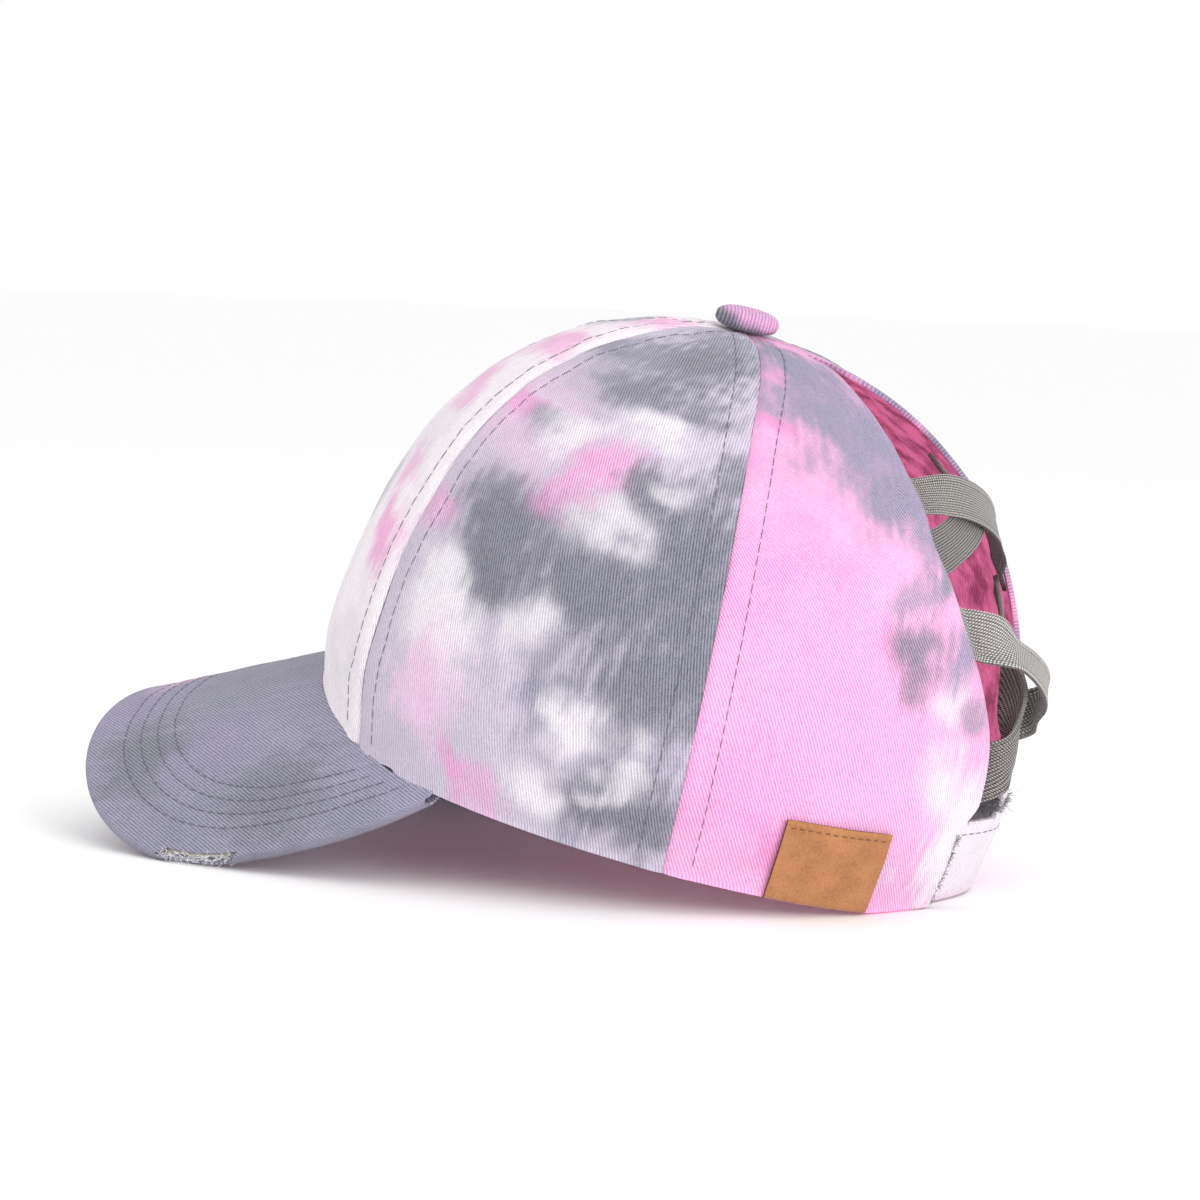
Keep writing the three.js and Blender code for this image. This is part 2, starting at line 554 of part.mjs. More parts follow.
// Point of the peak: way runs from 0 at the crown to 1 at the given distance in from the edge.
function peakSpot(share, way, inset, depth) {
  const edge = edgeSpot(share);
  const root = rootSpot(share, depth);
  const reach = edge.distanceTo(root);
  const s = way * Math.max(0.15, 1 - inset / reach);
  const spot = root.lerp(edge, s);
  return peakPoint(spot.x / PEAK_RADIUS, spot.y, depth);
}
const half = PEAK_THICKNESS / 2;
const along = 32;
const flat = 5;
const nose = 4;
const coverFace = (wall) => (s, t, i, k) => {
  const share = mix(-1, 1, s);
  const r = half - wall;
  if (k <= flat) return peakSpot(share, k / flat, half, wall);
  if (k >= flat + nose) return peakSpot(share, (2 * flat + nose - k) / flat, half, PEAK_THICKNESS - wall);
  const a = Math.PI * (k - flat) / nose;
  return peakSpot(share, 1, half - r * Math.sin(a), half - r * Math.cos(a));
};
const torn = (i, k) => {
  const share = mix(-1, 1, (i + 0.5) / along);
  return share > TEAR_FROM && share < TEAR_TO && k >= flat && k < flat + nose - 1;
};
shell('peak_cover', greyTwill, along, 2 * flat + nose, coverFace(0), coverFace(COVER_WALL),
  (i, k) => !torn(i, k));
const boardTop = COVER_WALL + LAYER_GAP;
const boardFace = (depth) => (s, t, i) => peakSpot(mix(-1, 1, (i + 1) / along), t, half + 2 * LAYER_GAP, depth);
shell('peak_board', board, along - 2, flat, boardFace(boardTop), boardFace(boardTop + BOARD_WALL));

// Lay the cap down: lean it back until peak and hem touch the table together
const lowest = (angle, names) => {
  let low = Infinity;
  for (const mesh of pieces) {
    if (names(mesh.name)) {
      const p = mesh.geometry.attributes.position;
      for (let k = 0; k < p.count; k += 1) {
        low = Math.min(low, p.getZ(k) * Math.cos(angle) - p.getY(k) * Math.sin(angle));
      }
    }
  }
  return low;
};
const isPeak = (name) => name.startsWith('peak');
const isRear = (name) => name.startsWith('rear');
let lower = 0;
let upper = rad(40);
for (let k = 0; k < 30; k += 1) {
  const mid = (lower + upper) / 2;
  if (lowest(mid, isPeak) + PEAK_PRESS < lowest(mid, isRear) + HEM_PRESS) lower = mid;
  else upper = mid;
}
const lean = (lower + upper) / 2;
const lift = -(lowest(lean, isRear) + HEM_PRESS);
const turned = new THREE.Matrix4().makeRotationX(-lean).setPosition(0, 0, lift);
const box = new THREE.Box3();
for (const mesh of pieces) {
  mesh.geometry.applyMatrix4(turned);
  const p = mesh.geometry.attributes.position;
  for (let k = 0; k < p.count; k += 1) if (p.getZ(k) < 0) p.setZ(k, 0);
  mesh.geometry.computeBoundingBox();
  box.union(mesh.geometry.boundingBox);
}
const middle = box.getCenter(new THREE.Vector3());
const cap = new THREE.Group();
for (const mesh of pieces) {
  mesh.geometry.translate(-middle.x, -middle.y, 0);
  mesh.geometry.computeVertexNormals();
  cap.add(mesh);
}
export default cap;
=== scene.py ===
"""Ponytail baseball cap in tie-dyed cotton twill, lying on a pale table."""
import json
import math
import bpy
import numpy as np
from mathutils import Matrix, Vector
from mathutils.bvhtree import BVHTree
from bpy.props import FloatProperty, FloatVectorProperty, IntProperty, PointerProperty

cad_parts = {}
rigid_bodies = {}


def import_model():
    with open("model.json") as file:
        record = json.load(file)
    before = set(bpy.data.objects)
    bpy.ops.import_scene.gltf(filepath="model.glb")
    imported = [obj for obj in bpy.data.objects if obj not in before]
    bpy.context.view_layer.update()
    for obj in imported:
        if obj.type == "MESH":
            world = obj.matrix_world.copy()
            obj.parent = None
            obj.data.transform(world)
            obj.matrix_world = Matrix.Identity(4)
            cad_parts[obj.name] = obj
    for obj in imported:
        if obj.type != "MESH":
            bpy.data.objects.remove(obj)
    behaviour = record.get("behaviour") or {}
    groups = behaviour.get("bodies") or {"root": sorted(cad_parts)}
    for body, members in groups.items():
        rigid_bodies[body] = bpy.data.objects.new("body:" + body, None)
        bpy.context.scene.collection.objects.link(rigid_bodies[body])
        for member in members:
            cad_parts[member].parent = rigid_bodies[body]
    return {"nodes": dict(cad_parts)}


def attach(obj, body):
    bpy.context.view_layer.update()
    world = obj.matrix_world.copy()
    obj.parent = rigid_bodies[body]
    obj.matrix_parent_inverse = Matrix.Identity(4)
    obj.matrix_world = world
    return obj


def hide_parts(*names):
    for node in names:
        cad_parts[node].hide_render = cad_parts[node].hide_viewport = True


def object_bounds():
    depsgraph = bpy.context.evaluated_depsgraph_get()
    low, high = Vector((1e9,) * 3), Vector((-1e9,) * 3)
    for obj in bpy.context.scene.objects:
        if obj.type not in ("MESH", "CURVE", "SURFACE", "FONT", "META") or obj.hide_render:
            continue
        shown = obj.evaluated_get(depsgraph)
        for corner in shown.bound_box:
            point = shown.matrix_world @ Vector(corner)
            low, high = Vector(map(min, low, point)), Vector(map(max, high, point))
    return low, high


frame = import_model()
CAD_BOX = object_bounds()

bl_info = {
    "name": "Ponytail cap",
    "version": (1, 0, 0),
    "blender": (4, 5, 0),
    "location": "3D View > Sidebar > Cap",
    "description": "Builds a six-panel ponytail cap: panels, peak, straps, label and thread",
    "category": "Add Mesh",
}

# Shape of the crown, millimetres, hem plane level; the cap is leaned back afterwards.
HALF_WIDTH, FRONT_LENGTH, BACK_LENGTH, CROWN_HEIGHT = 77.5, 98.0, 98.0, 133.5
APEX_SHIFT, NARROWING = -5.0, -0.05
SEAM_FRONT, SEAM_REAR, EAR_TURN, EYE = 53.0, 114.0, 75.0, 0.985
CLOTH_WALL, LAYER_GAP, TAPE_WALL = 1.4, 0.5, 1.2
LEAN, LIFT, MIDDLE_X = math.radians(13.3692), 21.165, -0.196
# The peak's front edge lies here before the cap is centred on its length.
NOSE_Y = -166.382
MIDDLE_Y = NOSE_Y + CAD_BOX[1][1] * 1000
MERIDIAN = 1.5 * CROWN_HEIGHT
# A dressed panel is a little thinner than its solid, to leave room for its padding.
PANEL_WALL = CLOTH_WALL * 0.93
# Gap at a seam in mm; share of a front panel's rows that falls behind the peak, and how far in mm
SEAM_GAP, FALL_ROWS, FALL_DEPTH = 0.03, 0.03, 3.0
# Share of the way up, share of the height, reach to the front, side and back
SECTIONS = np.array([
    (0.000, 0.000, 1.000, 1.000, 1.000), (0.125, 0.191, 1.035, 1.052, 1.029),
    (0.250, 0.424, 0.985, 1.048, 0.991), (0.375, 0.622, 0.885, 0.972, 0.900),
    (0.500, 0.768, 0.755, 0.838, 0.775), (0.625, 0.868, 0.607, 0.655, 0.626),
    (0.750, 0.940, 0.430, 0.443, 0.458), (0.875, 0.986, 0.225, 0.220, 0.250),
    (1.000, 1.000, 0.000, 0.000, 0.000)])
# Soft folds: side, turn in degrees, share up, lean in degrees, half length and half width and
# depth as shares of HALF_WIDTH
FOLDS = (
    (1, 84, 0.20, -48, 0.42, 0.070, -0.020), (1, 96, 0.12, -30, 0.30, 0.080, 0.012),
    (1, 124, 0.66, 4, 0.42, 0.090, -0.018), (1, 134, 0.60, 12, 0.38, 0.080, 0.012),
    (1, 146, 0.50, -50, 0.34, 0.075, -0.014), (1, 148, 0.22, 6, 0.34, 0.085, -0.014),
    (1, 30, 0.30, 20, 0.40, 0.130, -0.012), (-1, 76, 0.26, 38, 0.42, 0.090, -0.020),
    (-1, 128, 0.42, -10, 0.45, 0.090, -0.018), (-1, 28, 0.34, -16, 0.42, 0.130, -0.014))
# Slit: share from its foot to its top, half gap as a share of SLIT_HALF
SLIT_HALF, SLIT_TOP, SLIT_FOOT = 24.0, 0.92, 0.150
SLIT = np.array([(0, 0.44), (0.08, 0.44), (0.15, 0.62), (0.24, 0.85), (0.33, 0.97), (0.41, 1.0),
                 (0.50, 0.94), (0.61, 0.80), (0.71, 0.63), (0.82, 0.42), (0.92, 0.18), (1.0, 0.0)])
SETBACK, TAB_REACH, TAB_HEIGHT, LOOP_RISE, HOOK_LENGTH = 17.0, 34.0, 24.0, 4.5, 15.0
# Straps: node, finish, height of the left and right end, arch, stand, lead, swell, turn of the free
# part about its run at either end in degrees, 1 if it passes under
STRAP_WIDTH, STRAP_WALL, STRAP_TUCK = 12.0, 1.2, 7.0
STRAP_CLEAR, STRAP_ROUNDING, STRAP_LOOSE = 3.4, 3.0, 7.0
STRAPS = (
    # the straps that pass under wear a darker copy of the elastic, which is painted shade; the lower strap on
    # top wears a paler copy, which is painted light
    ("strap_upper_over", "elastic", 0.556, 0.398, 0.038, 0.27, 0.0, 3.0, 20, 0, 0),
    ("strap_upper_under", "elastic with painted shade", 0.428, 0.600, -0.010, 0.0, 0.0, 1.6, 0, 0, 1),
    ("strap_lower_over", "elastic with painted light", 0.360, 0.186, 0.030, 1.0, -0.04, 3.0, -48, 4, 0),
    ("strap_lower_under", "elastic with painted shade", 0.142, 0.385, -0.012, 0.88, 0.24, 1.9, -14, 80, 1))
PEAK_RADIUS, PEAK_SLOPE, PEAK_LENGTH, PEAK_HALF, PEAK_POWER = 86.0, math.radians(27.7), 77.0, 102.0, 2.55
PEAK_THICK, COVER_WALL, EAR_BLEND, CORNER_TRIM = 4.2, 1.0, 12.0, 6.0


# The cap's surfaces, as functions of whole arrays of places
def smooth(x):
    s = np.clip(x, 0.0, 1.0)
    return s * s * (3 - 2 * s)


def curve(rows, column, x):
    """Smooth curve through a column of a table whose first column is the place."""
    keys, values = rows[:, 0], rows[:, column]
    tangents = np.gradient(values)
    tangents[1:-1] = (values[2:] - values[:-2]) / (keys[2:] - keys[:-2])
    tangents[0] = (values[1] - values[0]) / (keys[1] - keys[0])
    tangents[-1] = (values[-1] - values[-2]) / (keys[-1] - keys[-2])
    i = np.clip(np.searchsorted(keys, x) - 1, 0, len(keys) - 2)
    h = keys[i + 1] - keys[i]
    t = np.clip((x - keys[i]) / h, 0, 1)
    return ((2 * t**3 - 3 * t**2 + 1) * values[i] + (t**3 - 2 * t**2 + t) * h * tangents[i]
            + (3 * t**2 - 2 * t**3) * values[i + 1] + (t**3 - t**2) * h * tangents[i + 1])


def unit(v):
    """Vectors of length 1."""
    return v / np.maximum(np.linalg.norm(v, axis=-1, keepdims=True), 1e-9)


def facing(surface, turn, up):
    """Outward direction of a surface, given as a function of the turn and the share up."""
    e = 0.004
    up = np.clip(up, e, 1 - e)
    round_it = surface(turn + e, up) - surface(turn - e, up)
    return unit(np.cross(round_it, surface(turn, up + e) - surface(turn, up - e)))


def dome(turn, v):
    """The smooth crown without its folds; the turn is 0 in front and pi at the back."""
    front, back = curve(SECTIONS, 2, v), curve(SECTIONS, 4, v)
    y_front = APEX_SHIFT - (FRONT_LENGTH + APEX_SHIFT) * front
    y_back = APEX_SHIFT + (BACK_LENGTH - APEX_SHIFT) * back
    c = np.cos(turn)
    return np.stack([HALF_WIDTH * curve(SECTIONS, 3, v) * np.sin(turn) * (1 - NARROWING * c),
                     (y_front + y_back) / 2 - (y_back - y_front) / 2 * c,
                     CROWN_HEIGHT * curve(SECTIONS, 1, v) + 0 * turn], -1)


def hem_spot(turn):
    """Place of the hem on the peak: its bend about the peak's axis, and how far ahead it lies."""
    p = dome(turn, 0 * turn)
    bend = np.arcsin(np.clip(p[..., 0] / PEAK_RADIUS, -1, 1))
    front = -FRONT_LENGTH + PEAK_RADIUS * (1 - np.cos(bend)) * math.sin(PEAK_SLOPE)
    return bend, (front - p[..., 1]) / math.cos(PEAK_SLOPE)


EAR = [float(v) for v in hem_spot(np.array(math.radians(EAR_TURN)))]
FRONT_RISE = EAR[1] * math.sin(PEAK_SLOPE) + PEAK_RADIUS * (1 - math.cos(EAR[0])) * math.cos(PEAK_SLOPE)


def peak_point(bend, ahead, depth):
    """Point of the peak, at a depth under its upper face."""
    up = -PEAK_RADIUS + (PEAK_RADIUS - depth) * np.cos(bend)
    return np.stack([(PEAK_RADIUS - depth) * np.sin(bend),
                     -FRONT_LENGTH - ahead * math.cos(PEAK_SLOPE) - up * math.sin(PEAK_SLOPE),
                     FRONT_RISE - ahead * math.sin(PEAK_SLOPE) + up * math.cos(PEAK_SLOPE)], -1)


RISE_SHARES = np.linspace(0, 0.7, 700)
RISES = CROWN_HEIGHT * curve(SECTIONS, 1, RISE_SHARES)


def wrapped(turn):
    """The same turn between minus pi and pi; plus is the wearer's left."""
    return np.arctan2(np.sin(turn), np.cos(turn))


def crown(turn, up):
    """Point on the crown's outer face; up is 0 at the hem and 1 at the apex."""
    turn, up = np.broadcast_arrays(np.asarray(turn, float), np.asarray(up, float))
    spot = hem_spot(turn)
    behind_ear = np.abs(wrapped(turn)) >= math.radians(EAR_TURN)
    height = np.where(behind_ear, 0, peak_point(spot[0], spot[1], 0)[..., 2])
    start = np.interp(height, RISES, RISE_SHARES)
    v = start + (1 - start) * up
    total = 0
    for side, at, high, lean, long, wide, deep in FOLDS:
        across = (wrapped(turn) * side - math.radians(at)) * (1.1 - 0.8 * up)
        rise = (up - high) * MERIDIAN / HALF_WIDTH
        c, s = math.cos(math.radians(lean)), math.sin(math.radians(lean))
        along_it, across_it = (rise * c + across * s) / long, (across * c - rise * s) / wide
        total = total + deep * HALF_WIDTH * np.exp(-along_it ** 2 - across_it ** 2)
    fold = total * smooth(up / 0.08) * smooth((1 - up) / 0.12)
    return dome(turn, v) + facing(dome, turn, v) * fold[..., None]


def crown_off(turn, up, out):
    """The crown's outer face moved out by a distance, minus inwards, with its normal."""
    turn, up, out = np.broadcast_arrays(*[np.asarray(v, float) for v in (turn, up, out)])
    n = facing(crown, turn, up)
    n = np.where((up <= 0.01)[..., None], unit(n * np.array([1, 1, 0])), n)
    return crown(turn, up) + n * out[..., None], n


def to_row(p):
    """Leans the cap back and lays it on the table; a hem below the table is pressed flat."""
    x, y, z = p[..., 0], p[..., 1], p[..., 2]
    c, s = math.cos(LEAN), math.sin(LEAN)
    q = np.stack([x - MIDDLE_X, y * c + z * s - MIDDLE_Y, z * c - y * s + LIFT], -1)
    q[..., 2] = np.maximum(q[..., 2], 0.02)
    return q


TURNS = np.radians(np.linspace(91, 180, 400))


def back_turn(x, up):
    """Turn of the place at the back that lies x off the centre line; plus is the wearer's left."""
    x, up = np.broadcast_arrays(np.asarray(x, float), np.asarray(up, float))
    flat_x, flat_up, found = np.abs(x).ravel(), up.ravel(), np.empty(x.size)
    keys = np.round(flat_up, 4)
    for key in np.unique(keys):
        chosen = keys == key
        reach = crown(TURNS, np.full(TURNS.shape, max(0.0, key)))[:, 0]
        found[chosen] = np.interp(flat_x[chosen], reach[::-1], TURNS[::-1])
    found = found.reshape(x.shape)
    return np.where(x >= 0, found, 2 * math.pi - found)


def slit_open(up):
    """Half the width of the slit."""
    share = np.maximum(0, (up - SLIT_FOOT) / (SLIT_TOP - SLIT_FOOT))
    gap = SLIT_HALF * curve(SLIT, 1, np.minimum(share, 1))
    return np.where(up >= SLIT_TOP, 0.05, np.maximum(0.05, gap))


def left_edge(up):
    """Distance of the left rear panel's edge from the centre line."""
    gap = slit_open(up)
    return np.maximum(SETBACK, gap) + (gap - np.maximum(SETBACK, gap)) * smooth(up / SLIT_FOOT * 4 - 3)


def climb(turn, distance):
    """Share up at a distance above the hem."""
    speed = np.linalg.norm(crown(turn, 0.03) - crown(turn, 0.01), axis=-1) / 0.02
    return distance / speed


TAB_TOP = float(climb(math.pi, TAB_HEIGHT))
TAB_DEPTH = CLOTH_WALL + TAPE_WALL + 2 * LAYER_GAP


def tuck(x, up):
    """Depth of the closure's tab, which slopes in under the left panel's end and fades out above."""
    sideways = smooth((x + 1.3 * SETBACK) / (1.8 * SETBACK))
    return -TAB_DEPTH * sideways * smooth((1.35 * TAB_TOP - up) / (0.35 * TAB_TOP))


def ripple(x, y, seed):
    """Soft seeded noise between about -1 and 1, made of crossed waves."""
    rng = np.random.default_rng(seed)
    total = 0
    for _ in range(7):
        a, f, p = rng.uniform(0, 2 * math.pi), rng.uniform(0.5, 1.7), rng.uniform(0, 2 * math.pi)
        total = total + np.sin((x * math.cos(a) + y * math.sin(a)) * f * 2 * math.pi + p)
    return total / 3.2


# Colours and dye
def linear(code):
    """sRGB hex to linear red, green and blue."""
    parts = [int(code[i:i + 2], 16) / 255 for i in (0, 2, 4)]
    return tuple(c / 12.92 if c <= 0.04045 else ((c + 0.055) / 1.055) ** 2.4 for c in parts)


DYES = {"grey": "515267", "mid": "6f6f86", "lilac": "81769c", "pink": "f58fcf", "magenta": "ef74c2",
        "pale": "efbfe0", "white": "ece6ea"}
# Blotches of dye: colour, turn in degrees, share up, radius in mm, strength
SIDE_DYE = (
    ("mid", 80, 0.66, 22, 0.55), ("mid", 100, 0.33, 30, 0.5), ("mid", 76, 0.30, 24, 0.5),
    ("mid", 104, 0.12, 22, 0.45), ("pale", 60, 0.50, 22, 0.6), ("mid", 96, 0.84, 20, 0.9),
    ("grey", 91, 0.74, 17, 0.9), ("grey", 84, 0.62, 10, 0.8), ("mid", 56, 0.70, 10, 0.8),
    ("mid", 70, 0.74, 12, 0.7), ("grey", 104, 0.62, 9, 0.8), ("white", 92, 0.55, 8, 0.9),
    ("pink", 88, 0.46, 9, 0.75), ("white", 74, 0.50, 9, 0.85), ("mid", 66, 0.50, 8, 0.7),
    ("pink", 56, 0.51, 8, 0.7), ("grey", 74, 0.33, 15, 0.95), ("grey", 71, 0.27, 10, 0.85),
    ("grey", 93, 0.29, 17, 0.95), ("grey", 107, 0.37, 17, 1.0), ("grey", 111, 0.26, 15, 0.95),
    ("grey", 106, 0.20, 14, 0.9), ("grey", 98, 0.45, 8, 0.85), ("white", 92, 0.38, 7, 0.7),
    ("pink", 82, 0.40, 8, 0.5), ("white", 103, 0.45, 4.5, 0.6), ("pink", 55, 0.33, 7, 0.5),
    ("white", 64, 0.26, 7, 0.9), ("white", 66, 0.19, 12, 0.95), ("pale", 70, 0.12, 12, 0.8),
    ("magenta", 77, 0.05, 6, 0.6), ("white", 84, 0.22, 8, 0.8), ("mid", 90, 0.16, 8, 0.75),
    ("white", 96, 0.15, 7, 0.9), ("grey", 102, 0.07, 9, 0.9), ("white", 93, 0.06, 8, 0.9),
    ("mid", 97, 0.01, 7, 0.7), ("grey", 109, 0.06, 11, 0.95), ("white", 104, 0.10, 4.5, 0.7),
    ("pink", 83, 0.02, 7, 0.5), ("white", 106, 0.14, 3.5, 0.5), ("grey", 112, 0.50, 9, 0.85),
)
REAR_DYE = (
    ("lilac", 137, 0.76, 30, 0.85), ("lilac", 150, 0.58, 20, 0.75), ("mid", 158, 0.48, 10, 0.6),
    ("mid", 126, 0.82, 14, 0.6), ("pink", 117, 0.80, 6, 0.7), ("pink", 116, 0.55, 8, 0.6),
    ("lilac", 136, 0.84, 15, 0.95), ("mid", 128, 0.90, 12, 0.8), ("lilac", 143, 0.68, 15, 0.95),
    ("mid", 148, 0.53, 10, 0.8), ("magenta", 118, 0.64, 7, 0.6), ("pink", 120, 0.36, 16, 0.6),
    ("pink", 130, 0.40, 14, 0.5), ("grey", 150, 0.30, 9, 0.9), ("white", 160, 0.26, 6, 0.6),
    ("pink", 138, 0.22, 20, 0.4), ("white", 168, 0.12, 13, 0.9), ("magenta", 122, 0.11, 16, 0.3),
    ("magenta", 129, 0.06, 7, 0.6), ("lilac", 156, 0.44, 8, 0.8), ("pink", 142, 0.32, 8, 0.5),
    ("white", 160, 0.17, 8, 0.6), ("lilac", 157, 0.04, 8, 0.25), ("mid", 160, 0.42, 7, 0.9),
    ("lilac", 163, 0.31, 7, 0.9), ("lilac", 158, 0.52, 9, 0.9), ("mid", 166, 0.24, 5, 0.7),
    ("white", 168, 0.05, 16, 0.9), ("lilac", 150, 0.62, 9, 0.8), ("lilac", 152, 0.38, 7, 0.7),
    ("white", 178, 0.06, 16, 0.9),
)
FRONT_DYE = (
    ("pink", 46, 0.24, 9, 0.8), ("pink", 37, 0.31, 8, 0.7), ("white", 32, 0.36, 12, 0.6),
    ("pink", 30, 0.48, 10, 0.6), ("pink", 34, 0.66, 12, 0.7), ("pink", 36, 0.84, 14, 0.7),
    ("white", 46, 0.10, 12, 0.8), ("pale", 10, 0.55, 20, 0.7), ("mid", 16, 0.24, 14, 0.5),
    ("pink", 8, 0.12, 12, 0.5), ("lilac", 4, 0.78, 14, 0.6),
)
PEAK_DYE = (
    ("mid", 0, 40, 60, 0.8), ("lilac", 30, 66, 22, 0.9), ("grey", 60, 46, 18, 0.9),
    ("mid", 84, 20, 26, 0.9), ("lilac", 62, 22, 14, 0.8), ("grey", 86, -6, 18, 0.8),
    ("mid", 30, 20, 20, 0.7), ("pale", 10, 60, 9, 0.45), ("lilac", -30, 40, 26, 0.8),
    ("grey", -70, 20, 26, 0.8), ("mid", 95, -30, 16, 0.9),
)


def dye(base, blots, x, y, seed):
    """Colour at each place: soft blotches with wandering edges, laid over each other."""
    colour = np.empty(x.shape + (4,))
    colour[..., :3] = linear(base)
    colour[..., 3] = 1
    wander_x = x + 3.4 * ripple(x / 34, y / 34, seed) + 1.5 * ripple(x / 11, y / 11, seed + 1)
    wander_y = y + 3.4 * ripple(x / 34, y / 34, seed + 2) + 1.5 * ripple(x / 11, y / 11, seed + 3)
    # streaks along the ribs, where the dye crept up the threads
    mist = 0.17 * ripple(x / 5, y / 17, seed + 4) + 0.10 * ripple(x / 2.2, y / 8, seed + 5)
    for name, bx, by, radius, strength in blots:
        d = np.hypot(wander_x - bx, wander_y - by) / radius + mist
        mask = (strength * (1 - smooth((d - 0.30) / 1.15)))[..., None]
        colour[..., :3] = colour[..., :3] * (1 - mask) + np.array(linear(DYES[name])) * mask
    return colour


def crown_dye(base, blots, turn, up, seed, side):
    """Dye on a panel; a blotch's place is a turn and a share up, and lengths are in mm."""
    reach = HALF_WIDTH * 1.1
    mid = np.radians(np.mean([b[1] for b in blots])) * reach

    def narrowed(x, share):
        return (x - mid) * (1.08 - 0.75 * share) + mid
    spots = [(n, float(narrowed(math.radians(t) * reach, u)), u * MERIDIAN, r, s) for n, t, u, r, s in blots]
    x = wrapped(turn) * side
    x = np.where(x < -0.5, x + 2 * math.pi, x) * reach
    return dye(base, spots, narrowed(x, up), up * MERIDIAN, seed)


# Materials
def add(tree, kind, settings=(), **links):
    """Adds a shader node with its settings, and values or links for its inputs, by name or i-number."""
    n = tree.nodes.new("ShaderNode" + kind)
    for key, value in dict(settings).items():
        setattr(n, key, value)
    for key, value in links.items():
        by_number = key[0] == "i" and key[1:].isdigit()
        socket = n.inputs[int(key[1:]) if by_number else key.replace("_", " ")]
        if isinstance(value, bpy.types.NodeSocket):
            tree.links.new(value, socket)
        else:
            socket.default_value = value
    return n


def begin(name, roughness, **sockets):
    """A new material with one shader."""
    m = bpy.data.materials.new(name)
    m.use_nodes = True
    tree = m.node_tree
    tree.nodes.clear()
    shader = add(tree, "BsdfPrincipled", Roughness=roughness, **sockets)
    add(tree, "OutputMaterial", Surface=shader.outputs[0])
    return m, tree, shader


def band_scale(pitch):
    """Scale of a wave texture whose lines lie this far apart."""
    return 2 * math.pi / 20 / pitch


def finish_off(m, shader, colour, strength, depth, height):
    """Links a colour to the material, and a relief whose depth is in mm."""
    tree = m.node_tree
    tree.links.new(colour, shader.inputs["Base Color"])
    bump = add(tree, "Bump", Strength=strength, Distance=depth * 0.001, Height=height)
    tree.links.new(bump.outputs[0], shader.inputs["Normal"])
    return m


def multiply_add(tree, value, factor, term):
    return add(tree, "Math", {"operation": "MULTIPLY_ADD"}, i0=value, i1=factor, i2=term).outputs[0]


def ramp(tree, value, start, end, low=0.0, high=1.0):
    """Value that runs from low to high while another runs from start to end."""
    n = add(tree, "MapRange", Value=value, From_Min=start, From_Max=end, To_Min=low, To_Max=high)
    return n.outputs[0]


def mix(tree, factor, first, second, **settings):
    kind = {"data_type": "RGBA", **settings}
    return add(tree, "Mix", kind, Factor=factor, i6=first, i7=second).outputs[2]


def twill(name, lean, pitch, code=None, painted_glow=0.0):
    """Cotton twill: a matt cloth with raised ribs, broken into short pale dashes where the yarn comes up.
    Real ribs lie about 0.6 mm apart; the ones that the eye sees in the picture are 1 mm apart.
    Its emission strength, the last argument, is painted light: it stands in for the daylight that comes
    through the thin cloth, seen from its inside."""
    m, tree, shader = begin(name, 0.93, Sheen_Weight=0.12, Sheen_Roughness=0.6)
    uv = add(tree, "UVMap", {"uv_map": "UVMap"})
    turned = add(tree, "Mapping", Vector=uv.outputs[0], Rotation=(0, 0, math.radians(lean)))
    ribs = add(tree, "TexWave", {"wave_type": "BANDS", "bands_direction": "X", "wave_profile": "SIN"},
               Vector=turned.outputs[0], Scale=band_scale(pitch), Distortion=1.3, Detail=2.0,
               Detail_Scale=1.6)
    drawn = add(tree, "Mapping", Vector=turned.outputs[0], Scale=(1.0, 0.45, 1.0))
    dashes = add(tree, "TexNoise", Vector=drawn.outputs[0], Scale=1.5, Detail=3.0, Roughness=0.75)
    specks = add(tree, "TexNoise", Vector=uv.outputs[0], Scale=2.6, Detail=2.0, Roughness=0.7)
    blot = add(tree, "TexNoise", Vector=uv.outputs[0], Scale=0.09, Detail=4.0, Roughness=0.6)
    if code:
        base = add(tree, "RGB").outputs[0]
        base.default_value = (*linear(code), 1)
    else:
        base = add(tree, "Attribute", {"attribute_name": "dye"}).outputs["Color"]
    faded = mix(tree, 0.20, base, (1, 1, 1, 1))
    deep = mix(tree, 1.0, base, (0.62, 0.60, 0.66, 1), blend_type="MULTIPLY")
    yarn = multiply_add(tree, dashes.outputs["Fac"], 1.3, ribs.outputs["Fac"])
    grain = multiply_add(tree, specks.outputs["Fac"], 1.5, yarn)
    mixed = mix(tree, ramp(tree, grain, 1.15, 2.55), deep, faded)
    shade = ramp(tree, blot.outputs["Fac"], 0.3, 0.7, 0.93, 1.05)
    toned = add(tree, "VectorMath", {"operation": "SCALE"}, i0=mixed, Scale=shade).outputs[0]
    # painted light: the inside glows by emission, dimmed in darker painted patches
    if painted_glow:
        patch = ramp(tree, blot.outputs["Fac"], 0.40, 0.56, 0.25, 1.0)
        painted_glow_colour = add(tree, "VectorMath", {"operation": "SCALE"}, i0=toned, Scale=patch)
        tree.links.new(painted_glow_colour.outputs[0], shader.inputs["Emission Color"])
        shader.inputs["Emission Strength"].default_value = painted_glow
    return finish_off(m, shader, toned, 0.5, 0.25, grain)


